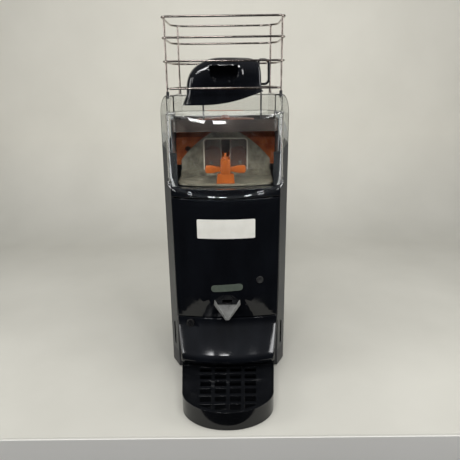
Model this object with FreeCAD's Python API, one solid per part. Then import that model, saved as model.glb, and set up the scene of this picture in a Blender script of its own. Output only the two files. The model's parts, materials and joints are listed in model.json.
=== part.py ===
import FreeCAD, Part
import math
import os

# Automatic orange juicer for a counter. Sizes are millimetres, +Z is up and the front faces -Y.
# The origin is on the table, at the centre of the box that holds the whole machine.

# Driving sizes of the whole machine
body_width = 330.0
body_depth = 244.0
overall_depth = 488.0
basket_top_z = 950.0

# Walls, seams and fits that many pieces share
overrun = 6.0
sheet = 1.5
moulding = 3.0
seam = 0.6
seat_gap = 0.3
join_gap = 0.003
full_turn_degrees = 360.0
running_gap = 0.05
fit_gap = 0.2

# Levels that the body is built on
foot_height = 5.0
plinth_top_z = 52.0
shelf_z = 190.0
door_bottom_z = 182.5
door_top_z = 518.0
sill_z = 541.0
panel_front_top_z = 630.0
panel_top_z = 648.0
pan_top_z = 709.0
housing_top_z = 771.0

# Plan of the body: wide at the back, with a slanting corner each side of the door
chamfer_back_y = 64.0
flange_y = 22.0
chamfer_inset = 22.0

# Drip tray in front of the body, and its grille
tray_half_width = 117.0
tray_back_half_width = 134.0
tray_height = 51.0
tray_lift = 0.6
tray_nose = 88.0
tray_wall = 3.0
tray_rim_rise = 1.2
tray_deck_y = -44.0
tray_deck = 3.0
grille_depth = 7.0
grille_drop = 3.0
grille_columns = 4
grille_rows = 6
grille_bar = 10.0
grille_cell_width = 31.0
grille_taper_share = 0.13
grille_back_margin = 9.0
grille_front_margin = 5.0
grille_ledge = 3.0

# Lower front panel: curve of its front at each level, and the lip over the tray
lower_bottom_z = 64.0
lower_under_z = 69.0
lower_nose_z = 77.0
lower_lip_z = 87.0
lower_brow_z = 96.0
lower_flare_z = 104.0
lower_waist_z = 155.0
lower_top_z = 180.0
lower_half_bottom = 126.5
lower_half_lip = 128.0
lower_half_flare = 130.5
lower_half_waist = 139.0
lower_half_top = 141.0
lower_side_bottom_y = -49.0
lower_side_under_y = -54.0
lower_side_nose_y = -57.5
lower_side_lip_y = -56.5
lower_side_brow_y = -51.0
lower_side_flare_y = -43.0
lower_side_waist_y = -4.0
lower_side_top_y = 0.0
lower_centre_bottom_y = -67.0
lower_centre_under_y = -73.0
lower_centre_nose_y = -77.0
lower_centre_lip_y = -76.0
lower_centre_brow_y = -70.5
lower_centre_flare_y = -62.0
lower_centre_waist_y = -24.0
lower_centre_top_y = -19.0
lower_corner = 8.0
lower_back_gap = 0.3

# Power button on the lower front panel
button_x = -103.0
button_z = 165.5
button_radius = 8.0
button_bezel_radius = 10.5
button_bezel_depth = 5.0
button_stem_radius = 4.0
button_stem_length = 16.0
button_travel = 3.0
button_crown = 1.5

# Front door, with its juice way
door_half_width = 142.0
door_bulge = 28.0
door_crease_z = 255.0
door_foot_inset = 13.0
door_corner = 7.0
door_back_gap = 4.0
door_pin_x = -135.0
door_pin_y = 8.0
door_pin_radius = 3.0
door_pin_length = 12.0
door_boss_radius = 7.5
door_boss_height = 14.0
plate_width = 150.0
plate_bottom_z = 415.0
plate_height = 51.0
plate_thickness = 1.4
plate_seat = 0.1
plate_corner = 3.0
oval_width = 85.0
oval_height = 19.0
oval_z = 276.0
oval_tilt = 3.5
lock_x = 88.0
lock_z = 295.0
lock_radius = 9.5
lock_proud = 2.5
lock_slot_width = 2.0
lock_slot_share = 0.62
lock_barrel_radius = 7.5
lock_cam_reach = 20.0
lock_cam_width = 10.0
lock_cam_corner = 4.0
lock_cam_thickness = 2.5
spout_rear_half = 37.0
spout_tip_half = 5.0
spout_rear_z = 240.0
spout_drop = 15.0
spout_reach = 55.0
spout_wall_height = 17.0
spout_tip_wall = 8.0
spout_sheet = 1.6
duct_radius = 13.0
duct_wall = 2.0
duct_top_z = 372.0
funnel_radius = 19.0
funnel_height = 26.0
duct_y = -2.0

# Hinged clear cover over the squeezing chamber
cover_half_width = 146.0
cover_back_y = 20.0
cover_wall = 3.0
pivot_gap = 0.1
cover_corner = 10.0
cover_top_radius = 16.0
cover_low_z = 512.0
cover_middle_z = 610.0
cover_upper_z = 690.0
cover_brow_z = 715.0
cover_crown_z = 728.0
cover_high_z = 735.0
cover_side_low_y = -4.0
cover_side_middle_y = -2.0
cover_side_upper_y = -1.0
cover_side_brow_y = 0.0
cover_side_crown_y = 2.0
cover_side_high_y = 4.5
cover_centre_low_y = -54.0
cover_centre_middle_y = -36.0
cover_centre_upper_y = -23.0
cover_centre_brow_y = -14.0
cover_centre_crown_y = -5.0
cover_centre_high_y = 1.0
cover_edge_side_z = 545.0
cover_edge_centre_z = 524.0
cover_rim_height = 7.0
cover_rim_proud = 2.0
cover_axis_y = 12.0
cover_axis_z = 727.0
cover_knuckle_radius = 8.0
pivot_radius = 2.5
pivot_block_width = 8.0
pivot_block_height = 9.0
pivot_block_corner = 4.0

# Clear upper housing
clear_wall = 3.0
shoulder_run = 24.0
shoulder_rise = 52.0
shoulder_back_radius = 22.0
hopper_half_width = 124.0
hopper_rim = 3.0
leg_socket_gap = 0.3

# Wire basket
basket_wire = 2.5
basket_ring_half = 145.5
basket_front_y = 20.0
basket_back_gap = 12.0
basket_front_corner = 16.0
basket_back_corner = 50.0
basket_upper_ring_share = 0.718
basket_lower_ring_share = 0.39
basket_foot_z = 786.0
basket_foot_inset = 10.0
basket_leg_z = 762.0

# Loose hood lying in the basket, its slanting foot on the hopper posts
hood_left_x = -97.0
hood_right_x = 94.0
hood_low_z = 745.0
hood_bend_x = 1.0
hood_bend_radius = 330.0
hood_slope = 18.4
hood_top_z = 860.0
hood_crown_x = -38.0
hood_crown_radius = 40.0
hood_shoulder_z = 817.0
hood_shoulder_radius = 15.0
hood_corner = 4.0
hood_front_y = 52.0
hood_back_gap = 54.0
hood_crease_z = 805.0
hood_crease_radius = 8.0
hood_ridge_width = 16.0
hood_ridge_radius = 12.0
hood_wall = 3.0
hood_flange = 5.0
hood_flange_thickness = 4.0
hood_ear_reach = 9.0
hood_ear_height = 20.0
hood_ear_width = 40.0
hood_ear_corner = 7.0
hood_pocket_width = 68.0
hood_pocket_depth = 48.0
hood_pocket_low_z = 806.0
hood_pocket_high_z = 838.0
hood_pocket_corner = 14.0
hood_pocket_x = -1.0
handle_reach = 26.0
handle_width = 30.0
handle_height = 67.0
handle_bar = 9.0
handle_hole_corner = 4.0

# Squeezing drums: two cup drums above, two ball drums below and further out
drum_cup_x = 40.0
drum_cup_z = 584.0
drum_ball_x = 68.5
drum_length = 66.0
cup_drum_radius = 38.0
cup_radius = 32.0
ball_radius = 27.0
ball_neck_radius = 14.0
ball_hub_radius = 15.0
cups_per_drum = 3
cup_start_angle = 60.0
shaft_radius = 6.0
bearing_radius = 13.0
bearing_flange_radius = 17.0
bearing_flange = 2.5
knife_thickness = 1.6
knife_bottom_z = 552.0
knife_top_z = 590.0
knife_bevel = 5.0
knife_holder_half = 4.0
knife_holder_drop = 14.0
knife_grip = 4.0

# Gears behind the bulkhead
gear_module = 4.0
gear_teeth = 20
gear_width = 8.0
gear_backlash = 0.45
gear_root_depth = 5.0
gear_tip_height = 3.6
gear_pressure_angle = 20.0
gear_web_thickness = 4.0
gear_web_radius = 30.0
gear_hub_radius = 12.0

# Bulkhead and frame plates
bulkhead_back_gap = 34.0
bulkhead_drum_gap = 3.0
bulkhead_thickness = 3.0
bulkhead_half_width = 158.0
frame_plate_x = 138.5
frame_plate_thickness = 2.5
frame_front_y = 26.0
frame_upper_front_y = 62.0
frame_hole_radius = 26.0
frame_low_hole_z = 120.0
frame_middle_hole_z = 290.0
frame_high_hole_z = 440.0

# Arched front plate, its window and the catch tray before it
arch_drum_gap = 7.0
arch_thickness = 2.0
arch_half_width = 123.0
arch_shoulder_z = 595.0
arch_top_z = 675.0
arch_apex_half = 26.0
arch_bottom_z = 520.0
arch_bow = 7.0
window_half_width = 60.0
window_bottom_z = 566.0
window_top_z = 652.0
window_corner = 9.0
window_rim_width = 3.5
window_rim_proud = 5.0
smoke_panel_thickness = 2.0
smoke_slot_half = 13.0
smoke_edge_half = 1.5
catch_back_z = 566.0
catch_crease_gap = 22.0
catch_crease_z = 553.0
catch_lip_z = 546.5
catch_lip_rise = 2.5
catch_front_y = 26.0
catch_bow = 18.0
catch_corner = 26.0

# Orange hood over the drums
drum_hood_half_width = 137.0
drum_hood_wall = 3.0
drum_hood_gap = 2.5
drum_hood_back_gap = 3.0
drum_hood_bottom_z = 580.0
drum_hood_front_z = 655.0
drum_hood_top_z = 676.0
drum_hood_ridge = 29.5
drum_hood_mouth_radius = 37.0
drum_hood_corner = 14.0
drum_hood_hole_x = -105.0
drum_hood_hole_z = 624.0
drum_hood_hole_radius = 7.0
drum_hood_ring_x = 90.0
drum_hood_ring_radius = 6.5
drum_hood_ring_proud = 2.5

# Orange wing knob on its block
knob_y = 36.0
knob_wing_half = 53.0
knob_wing_bottom_z = 575.0
knob_wing_height = 19.0
knob_wing_depth = 13.0
knob_wing_end = 5.5
knob_wing_corner = 7.5
knob_body_half = 12.5
knob_body_depth = 22.0
knob_body_top_z = 610.0
knob_pin_radius = 3.0
knob_pin_top_z = 626.0
knob_block_bottom_half = 23.5
knob_block_top_half = 21.0
knob_block_depth = 20.0
knob_block_top_z = 573.0
knob_edge = 4.0
knob_stud_radius = 3.0
knob_stud_height = 22.0

# Hopper pan, feed disc and its motor
pan_half_width = 137.0
pan_front_y = 44.0
pan_back_gap = 2.0
pan_bottom_z = 679.0
pan_wall = 2.5
pan_floor_z = 696.0
pan_corner = 18.0
disc_edge_gap = 1.5
disc_thickness = 9.0
disc_pocket_offset_share = 0.59
disc_pocket_share = 0.436
disc_pockets = 3
disc_hub_radius = 14.0
disc_hub_height = 10.0
disc_shaft_radius = 5.0
feed_motor_radius = 30.0
feed_motor_height = 14.0
drop_radius = 36.0
post_radius = 2.2
post_left_x = -54.0
post_right_x = 92.0
post_y = 52.5
post_foot_radius = 5.0
post_foot_height = 3.0

# Juice way and peel way
filter_half_width = 84.0
filter_top_z = 436.0
filter_depth = 10.0
filter_wall = 2.0
filter_slot_count = 12
filter_slot_share = 0.5
collector_half_width = 88.0
collector_depth = 36.0
collector_wall = 2.5
collector_drum_gap = 3.0
outlet_radius = 9.0
outlet_wall = 2.0
outlet_end_y = 4.0
chute_inner_x = 92.0
chute_top_z = 436.0
chute_bottom_z = 392.0
chute_spread = 22.0
bin_half_width = 126.0
bin_front_y = 30.0
bin_back_gap = 6.0
bin_top_z = 372.0
bin_wall = 2.5
bin_corner = 18.0
bin_taper = 6.0
bin_lip = 4.0

# Drive in the base
motor_z = 120.0
motor_radius = 40.0
motor_length = 74.0
gearbox_radius = 34.0
gearbox_length = 22.0
motor_flange = 4.0
pulley_drive_radius = 20.0
pulley_driven_radius = 30.0
pulley_width = 7.0
pulley_back_gap = 18.0
belt_thickness = 2.5

# Rear panel, electrical pieces and feet
rear_thickness = 2.0
vent_slots = 7
vent_width = 4.0
vent_corner = 1.8
vent_length = 60.0
vent_pitch = 12.0
vent_z = 500.0
inlet_x = -105.0
inlet_z = 88.0
inlet_width = 28.0
inlet_height = 22.0
inlet_flange = 4.0
inlet_depth = 20.0
inlet_pin_width = 2.0
inlet_pin_height = 5.0
inlet_pin_pitch = 7.0
board_width = 90.0
board_height = 70.0
board_thickness = 1.6
board_x = -70.0
board_z = 110.0
board_post = 5.0
board_part_height = 10.0
board_can_share = 0.6
switch_z = 300.0
switch_width = 10.0
switch_height = 20.0
switch_lever = 0.8
foot_radius = 13.0
foot_inset = 26.0
slot_bottom_z = 67.0
slot_top_z = 140.0
slot_width = 10.0
flange_width = 20.0

# Places worked out from the sizes above
half_body = body_width / 2
front_y = body_depth - overall_depth
back_y = body_depth
centring_y = overall_depth / 2 - body_depth
bulkhead_y = back_y - bulkhead_back_gap
pulley_y = back_y - pulley_back_gap
basket_back_y = back_y - basket_back_gap
hood_back_y = back_y - hood_back_gap
drum_front_y = bulkhead_y - bulkhead_drum_gap - drum_length
arch_y = drum_front_y - arch_drum_gap
catch_crease_y = arch_y - catch_crease_gap
drum_hood_front_y = drum_front_y - drum_hood_gap
drum_hood_back_y = bulkhead_y - drum_hood_back_gap
drum_hood_ridge_y = drum_hood_front_y + drum_hood_ridge
pan_back_y = bulkhead_y - pan_back_gap
disc_y = (pan_front_y + pan_back_y) / 2
disc_radius = (pan_back_y - pan_front_y) / 2 - pan_wall - disc_edge_gap
disc_pocket_offset = disc_radius * disc_pocket_offset_share
disc_pocket_radius = disc_radius * disc_pocket_share
collector_front_y = drum_front_y - collector_drum_gap
bin_back_y = bulkhead_y - bin_back_gap
basket_ring_zs = [
    basket_foot_z + (basket_top_z - basket_wire - basket_foot_z) * share
    for share in (basket_upper_ring_share, basket_lower_ring_share)
]
lower_levels = (lower_bottom_z, lower_under_z, lower_nose_z, lower_lip_z,
                lower_brow_z, lower_flare_z, lower_waist_z, lower_top_z)
lower_halves = (lower_half_bottom, lower_half_lip, lower_half_lip, lower_half_lip,
                lower_half_lip, lower_half_flare, lower_half_waist, lower_half_top)
lower_side_ys = (lower_side_bottom_y, lower_side_under_y, lower_side_nose_y, lower_side_lip_y,
                 lower_side_brow_y, lower_side_flare_y, lower_side_waist_y, lower_side_top_y)
lower_centre_ys = (lower_centre_bottom_y, lower_centre_under_y, lower_centre_nose_y, lower_centre_lip_y,
                   lower_centre_brow_y, lower_centre_flare_y, lower_centre_waist_y, lower_centre_top_y)
cover_levels = (cover_low_z, cover_middle_z, cover_upper_z, cover_brow_z, cover_crown_z, cover_high_z)
cover_halves = [cover_half_width] * len(cover_levels)
cover_side_ys = (cover_side_low_y, cover_side_middle_y, cover_side_upper_y, cover_side_brow_y,
                 cover_side_crown_y, cover_side_high_y)
cover_centre_ys = (cover_centre_low_y, cover_centre_middle_y, cover_centre_upper_y, cover_centre_brow_y,
                   cover_centre_crown_y, cover_centre_high_y)
grille_length = tray_deck_y - grille_back_margin - front_y - grille_front_margin
grille_cell_length = grille_length / grille_rows - grille_bar
front_half = half_body - chamfer_inset
door_back_y = flange_y - door_back_gap
rear_y = back_y - rear_thickness
ball_drop = math.sqrt((2 * drum_cup_x) ** 2 - (drum_ball_x - drum_cup_x) ** 2)
drum_ball_z = drum_cup_z - ball_drop
drum_middle_y = drum_front_y + drum_length / 2
pitch_radius = gear_module * gear_teeth / 2
gear_y = bulkhead_y + bulkhead_thickness + bearing_flange + seam
tray_back_y = flange_y - seam
collector_back_y = bulkhead_y - seat_gap
frame_foot_z = foot_height + moulding + seat_gap
collector_top_z = filter_top_z - filter_depth - seat_gap
collector_floor_z = collector_top_z - collector_depth
outlet_z = collector_floor_z + outlet_radius + outlet_wall


def vec(x, y, z):
    return FreeCAD.Vector(x, y, z)


def block(x0, x1, y0, y1, z0, z1):
    return Part.makeBox(x1 - x0, y1 - y0, z1 - z0, vec(x0, y0, z0))


def rod(radius, start, end):
    along = end.sub(start)
    return Part.makeCylinder(radius, along.Length, start, along)


def upright(radius, x, y, z0, z1):
    return rod(radius, vec(x, y, z0), vec(x, y, z1))


def level(radius, x, z, y0, y1):
    return rod(radius, vec(x, y0, z), vec(x, y1, z))


def outline(points, radii):
    """Closed outline through the points, each corner turned by its own radius."""
    joins = []
    for index, corner in enumerate(points):
        back = points[index - 1].sub(corner)
        ahead = points[(index + 1) % len(points)].sub(corner)
        back.normalize()
        ahead.normalize()
        half_angle = back.getAngle(ahead) / 2
        radius = radii[index]
        if radius == 0:
            joins.append((corner, None, corner))
            continue
        reach = radius / math.tan(half_angle)
        inward = back + ahead
        inward.normalize()
        centre = corner + inward * (radius / math.sin(half_angle))
        joins.append((corner + back * reach, centre - inward * radius, corner + ahead * reach))
    edges = []
    for index, (start, middle, end) in enumerate(joins):
        if middle is not None:
            edges.append(Part.Arc(start, middle, end).toShape())
        following = joins[(index + 1) % len(joins)][0]
        if end.distanceToPoint(following) > join_gap:
            edges.append(Part.makeLine(end, following))
    return Part.Wire(edges)


def corner_list(points, radius):
    if isinstance(radius, (list, tuple)):
        return radius
    return [radius] * len(points)


def plan_solid(points, z0, z1, radius=0):
    wire = outline([vec(x, y, z0) for x, y in points], corner_list(points, radius))
    return Part.Face(wire).extrude(vec(0, 0, z1 - z0))


def side_solid(points, x0, x1, radius=0):
    wire = outline([vec(x0, y, z) for y, z in points], corner_list(points, radius))
    return Part.Face(wire).extrude(vec(x1 - x0, 0, 0))


def front_solid(points, y0, y1, radius=0):
    wire = outline([vec(x, y0, z) for x, z in points], corner_list(points, radius))
    return Part.Face(wire).extrude(vec(0, y1 - y0, 0))


def rectangle(x0, x1, y0, y1):
    return [(x0, y0), (x1, y0), (x1, y1), (x0, y1)]


def bow_circle(half, side_y, centre_y):
    """Radius and centre of the arc that joins the two sides through the middle."""
    rise = side_y - centre_y
    radius = (half ** 2 + rise ** 2) / (2 * rise)
    return radius, centre_y + radius


def bow_y(x, half, side_y, centre_y):
    radius, centre = bow_circle(half, side_y, centre_y)
    return centre - math.sqrt(radius ** 2 - x ** 2)


def bowed_wire(z, half, side_y, centre_y, rear_y, corner):
    """Outline with a bowed front, round front corners and a straight back."""
    radius, centre = bow_circle(half, side_y, centre_y)
    corner_x = half - corner
    corner_y = centre - math.sqrt((radius - corner) ** 2 - corner_x ** 2)
    out_x = corner_x / (radius - corner)
    out_y = (corner_y - centre) / (radius - corner)
    turn_x = corner_x + corner * out_x
    turn_y = corner_y + corner * out_y
    slant = math.sqrt(((1 + out_x) / 2) ** 2 + (out_y / 2) ** 2)
    knee_x = corner_x + corner * (1 + out_x) / 2 / slant
    knee_y = corner_y + corner * out_y / 2 / slant
    middle = vec(0, centre - radius, z)
    edges = [
        Part.makeLine(vec(half, rear_y, z), vec(-half, rear_y, z)),
        Part.makeLine(vec(-half, rear_y, z), vec(-half, corner_y, z)),
        Part.Arc(vec(-half, corner_y, z), vec(-knee_x, knee_y, z), vec(-turn_x, turn_y, z)).toShape(),
        Part.Arc(vec(-turn_x, turn_y, z), middle, vec(turn_x, turn_y, z)).toShape(),
        Part.Arc(vec(turn_x, turn_y, z), vec(knee_x, knee_y, z), vec(half, corner_y, z)).toShape(),
        Part.makeLine(vec(half, corner_y, z), vec(half, rear_y, z)),
    ]
    return Part.Wire(edges)


def bowed_loft(levels, halves, side_ys, centre_ys, rear_y, corner, inset):
    """Solid through bowed outlines at the given levels, drawn in by the inset."""
    wires = []
    for z, half, side_y, centre_y in zip(levels, halves, side_ys, centre_ys):
        wires.append(bowed_wire(z, half - inset, side_y + inset, centre_y + inset, rear_y, corner - inset))
    return Part.makeLoft(wires, True, True)


def bowed_prism(z0, z1, half, side_y, centre_y, rear_y, corner):
    wire = bowed_wire(z0, half, side_y, centre_y, rear_y, corner)
    return Part.Face(wire).extrude(vec(0, 0, z1 - z0))


def joined(shapes):
    whole = shapes[0]
    for shape in shapes[1:]:
        whole = whole.fuse(shape)
    return whole.removeSplitter()


def grouped(shapes):
    return Part.makeCompound(shapes)


def mirrored(shape):
    return shape.mirror(vec(0, 0, 0), vec(1, 0, 0))


def save(name, shape):
    """Write one sub-part, as a group where it holds several solids."""
    solids = shape.Solids
    whole = solids[0] if len(solids) == 1 else Part.makeCompound(solids)
    if not whole.isValid():
        print("not valid:", name)
    whole.translate(vec(0, centring_y, 0))
    whole.exportStep("parts/" + name + ".step")
    print(name, len(solids), round(whole.Volume))


def body_plan(inset):
    """Plan of the body, drawn in evenly on every side."""
    slope = math.atan2(chamfer_inset, chamfer_back_y - flange_y)
    back_shift = inset * math.tan(slope / 2)
    front_shift = inset * math.tan((math.pi / 2 - slope) / 2)
    return [
        (half_body - inset, back_y - inset),
        (half_body - inset, chamfer_back_y + back_shift),
        (front_half - front_shift, flange_y + inset),
        (-front_half + front_shift, flange_y + inset),
        (-half_body + inset, chamfer_back_y + back_shift),
        (-half_body + inset, back_y - inset),
    ]


def panel_roof(rise):
    """Space above the sloping top edge of the side panels."""
    reach = half_body + overrun
    top = housing_top_z + overrun
    points = [
        (front_y, panel_front_top_z + rise),
        (flange_y, panel_front_top_z + rise),
        (chamfer_back_y, panel_top_z + rise),
        (back_y + overrun, panel_top_z + rise),
        (back_y + overrun, top),
        (front_y, top),
    ]
    return side_solid(points, -reach, reach)


def plinth():
    shell = plan_solid(body_plan(0), foot_height, plinth_top_z)
    shell = shell.cut(plan_solid(body_plan(moulding), foot_height + moulding, plinth_top_z + overrun))
    return shell


def feet():
    across = half_body - foot_inset
    pads = []
    for y in (chamfer_back_y, back_y - foot_inset):
        for x in (-across, across):
            pads.append(upright(foot_radius, x, y, 0, foot_height))
    return grouped(pads)


def corner_slot():
    """Round-ended slot through the right slanting corner, square to its face."""
    middle_x = (half_body + front_half) / 2
    middle_y = (chamfer_back_y + flange_y) / 2
    face_x = half_body - front_half
    face_y = chamfer_back_y - flange_y
    normal = vec(face_y, -face_x, 0)
    normal.normalize()
    along = vec(face_x, face_y, 0)
    along.normalize()
    half = slot_width / 2
    inner = vec(middle_x, middle_y, 0) - normal * overrun
    corners = [
        inner - along * half + vec(0, 0, slot_bottom_z),
        inner + along * half + vec(0, 0, slot_bottom_z),
        inner + along * half + vec(0, 0, slot_top_z),
        inner - along * half + vec(0, 0, slot_top_z),
    ]
    wire = outline(corners, corner_list(corners, half - seat_gap))
    return Part.Face(wire).extrude(normal * (2 * overrun))


def flange_inner_x():
    return front_half - flange_width


def right_side_panel():
    bottom = plinth_top_z + seam
    outer = plan_solid(body_plan(0), bottom, housing_top_z)
    panel = outer.cut(plan_solid(body_plan(sheet), bottom - overrun, housing_top_z + overrun))
    panel = panel.cut(panel_roof(0))
    reach = half_body + overrun
    panel = panel.common(block(flange_inner_x(), reach, front_y, rear_y - seam, 0, housing_top_z))
    return panel.cut(corner_slot())


def rear_panel():
    bottom = plinth_top_z + seam
    plate = block(-half_body, half_body, rear_y, back_y, bottom, panel_top_z)
    for index in range(vent_slots):
        z = vent_z + index * vent_pitch
        for side in (-1, 1):
            middle = side * vent_length
            half = vent_length / 2
            points = rectangle(middle - half, middle + half, z, z + vent_width)
            plate = plate.cut(front_solid(points, rear_y - overrun, back_y + overrun, vent_corner))
    inlet = rectangle(inlet_x - inlet_width / 2, inlet_x + inlet_width / 2,
                      inlet_z - inlet_height / 2, inlet_z + inlet_height / 2)
    return plate.cut(front_solid(inlet, rear_y - overrun, back_y + overrun))


def power_inlet():
    half_x = inlet_width / 2 - fit_gap
    half_z = inlet_height / 2 - fit_gap
    front = rear_y - inlet_depth
    points = rectangle(inlet_x - half_x, inlet_x + half_x, inlet_z - half_z, inlet_z + half_z)
    chamfer = inlet_flange
    body = front_solid(points, front, back_y, [chamfer, chamfer, 0, 0])
    hollow = rectangle(inlet_x - half_x + sheet, inlet_x + half_x - sheet,
                       inlet_z - half_z + sheet, inlet_z + half_z - sheet)
    body = body.cut(front_solid(hollow, front + moulding, back_y + overrun))
    rim = rectangle(inlet_x - half_x - inlet_flange, inlet_x + half_x + inlet_flange,
                    inlet_z - half_z - inlet_flange, inlet_z + half_z + inlet_flange)
    flange = front_solid(rim, rear_y - sheet, rear_y, sheet)
    flange = flange.cut(front_solid(hollow, front, back_y))
    solids = [body, flange]
    for step in (-1, 0, 1):
        x = inlet_x + step * inlet_pin_pitch
        half = inlet_pin_width / 2
        z = inlet_z - abs(step) * inlet_pin_height / 2
        solids.append(block(x - half, x + half, front + sheet, back_y - moulding,
                            z, z + inlet_pin_height))
    return joined(solids)


def frame_plate_right():
    points = [
        (frame_front_y, frame_foot_z),
        (frame_front_y, sill_z - seat_gap),
        (frame_upper_front_y, sill_z - seat_gap),
        (frame_upper_front_y, pan_top_z),
        (bulkhead_y, pan_top_z),
        (bulkhead_y, frame_foot_z),
    ]
    plate = side_solid(points, frame_plate_x, frame_plate_x + frame_plate_thickness)
    middle = (frame_front_y + bulkhead_y) / 2
    for z in (frame_low_hole_z, frame_middle_hole_z, frame_high_hole_z):
        start = vec(frame_plate_x - overrun, middle, z)
        plate = plate.cut(rod(frame_hole_radius, start, vec(half_body, middle, z)))
    return plate


def shaft_places():
    """The four drum shafts, left to right, cups above and balls below."""
    return {
        "cup_left": (-drum_cup_x, drum_cup_z),
        "cup_right": (drum_cup_x, drum_cup_z),
        "ball_left": (-drum_ball_x, drum_ball_z),
        "ball_right": (drum_ball_x, drum_ball_z),
    }


def bulkhead():
    start = bulkhead_y
    end = bulkhead_y + bulkhead_thickness
    plate = block(-bulkhead_half_width, bulkhead_half_width, start, end, frame_foot_z, pan_top_z)
    for x, z in shaft_places().values():
        plate = plate.cut(level(bearing_radius, x, z, start - overrun, end + overrun))
    bore = gearbox_radius / 2
    plate = plate.cut(level(bore, drum_ball_x, motor_z, start - overrun, end + overrun))
    return plate


def bearings():
    rings = []
    back = bulkhead_y + bulkhead_thickness
    for x, z in shaft_places().values():
        ring = level(bearing_radius - fit_gap, x, z, bulkhead_y - bearing_flange, back)
        ring = ring.fuse(level(bearing_flange_radius, x, z, back, back + bearing_flange))
        bore = level(shaft_radius + running_gap, x, z, bulkhead_y - 2 * overrun, gear_y + overrun)
        rings.append(ring.cut(bore).removeSplitter())
    return grouped(rings)


def drum_shaft(name):
    x, z = shaft_places()[name]
    end = gear_y + gear_width
    if name == "ball_right":
        end = pulley_y + pulley_width
    return level(shaft_radius, x, z, drum_front_y - seam, end)


def cup_angles(side):
    start = cup_start_angle if side < 0 else full_turn_degrees / 2 - cup_start_angle
    turn = full_turn_degrees / cups_per_drum
    return [math.radians(start + turn * index) for index in range(cups_per_drum)]


def cup_drum(side):
    x = side * drum_cup_x
    drum = level(cup_drum_radius, x, drum_cup_z, drum_front_y, drum_front_y + drum_length)
    for angle in cup_angles(side):
        reach = 2 * drum_cup_x / 2
        place = vec(x + reach * math.cos(angle), drum_middle_y, drum_cup_z + reach * math.sin(angle))
        drum = drum.cut(Part.makeSphere(cup_radius, place))
    bore = level(shaft_radius, x, drum_cup_z, drum_front_y - overrun, bulkhead_y)
    return drum.cut(bore)


def ball_angles(side):
    """Each ball meets a cup where the two drums turn past each other."""
    mesh = math.atan2(drum_cup_z - drum_ball_z, drum_ball_x - drum_cup_x)
    if side > 0:
        toward_ball = -mesh
    else:
        toward_ball = math.pi + mesh
    first = 2 * toward_ball + math.pi - cup_angles(side)[0]
    turn = 2 * math.pi / cups_per_drum
    return [first + turn * index for index in range(cups_per_drum)]


def ball_drum(side):
    x = side * drum_ball_x
    pieces = [level(ball_hub_radius, x, drum_ball_z, drum_front_y, drum_front_y + drum_length)]
    centre = vec(x, drum_middle_y, drum_ball_z)
    for angle in ball_angles(side):
        middle = centre + vec(drum_cup_x, 0, 0)
        for piece in (rod(ball_neck_radius, centre, middle), Part.makeSphere(ball_radius, middle)):
            piece.rotate(centre, vec(0, 1, 0), -math.degrees(angle))
            pieces.append(piece)
    drum = joined(pieces)
    bore = level(shaft_radius, x, drum_ball_z, drum_front_y - overrun, bulkhead_y)
    return drum.cut(bore)


def involute(angle):
    return math.tan(angle) - angle


def gear(name, phase):
    """Spur gear with involute flanks, a thin web and a hub."""
    x, z = shaft_places()[name]
    pressure = math.radians(gear_pressure_angle)
    base = pitch_radius * math.cos(pressure)
    tip = pitch_radius + gear_tip_height
    half_pitch = math.pi / (2 * gear_teeth) + involute(pressure) - gear_backlash / (2 * pitch_radius)
    flank = []
    for radius in (base, pitch_radius, tip):
        flank.append((radius, half_pitch - involute(math.acos(base / radius))))
    root = pitch_radius - gear_root_depth
    points = []
    for tooth in range(gear_teeth):
        middle = phase + tooth * 2 * math.pi / gear_teeth
        turns = [(root, -half_pitch)] + [(radius, -angle) for radius, angle in flank]
        turns += [(radius, angle) for radius, angle in reversed(flank)] + [(root, half_pitch)]
        for radius, angle in turns:
            points.append((x + radius * math.cos(middle + angle), z + radius * math.sin(middle + angle)))
    wheel = front_solid(points, gear_y, gear_y + gear_width)
    ring = level(gear_web_radius, x, z, gear_y + gear_web_thickness, gear_y + gear_width + overrun)
    hub = level(gear_hub_radius, x, z, gear_y, gear_y + gear_width)
    wheel = wheel.cut(ring).fuse(hub)
    return wheel.cut(level(shaft_radius, x, z, gear_y - overrun, back_y)).removeSplitter()


def gear_phases():
    """Turn of each gear, so that every pair is in mesh."""
    mesh = math.atan2(drum_cup_z - drum_ball_z, drum_ball_x - drum_cup_x)
    half_tooth = math.pi / gear_teeth
    left = 0.0
    right = half_tooth + math.pi - left
    return {
        "cup_left": left,
        "cup_right": right,
        "ball_left": half_tooth + 2 * (math.pi + mesh) + math.pi - left,
        "ball_right": half_tooth - 2 * mesh + math.pi - right,
    }


def knife_blade():
    half = knife_thickness / 2
    points = [
        (-half, knife_bottom_z),
        (half, knife_bottom_z),
        (half, knife_top_z - knife_bevel),
        (0, knife_top_z),
        (-half, knife_top_z - knife_bevel),
    ]
    return front_solid(points, drum_front_y - seam, bulkhead_y)


def knife_holder():
    half = knife_thickness / 2
    top = knife_bottom_z + knife_grip
    points = [
        (-knife_holder_half, knife_bottom_z - knife_holder_drop),
        (knife_holder_half, knife_bottom_z - knife_holder_drop),
        (knife_holder_half, top),
        (half, top),
        (half, knife_bottom_z),
        (-half, knife_bottom_z),
        (-half, top),
        (-knife_holder_half, top),
    ]
    return front_solid(points, arch_y + arch_thickness, bulkhead_y)


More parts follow.
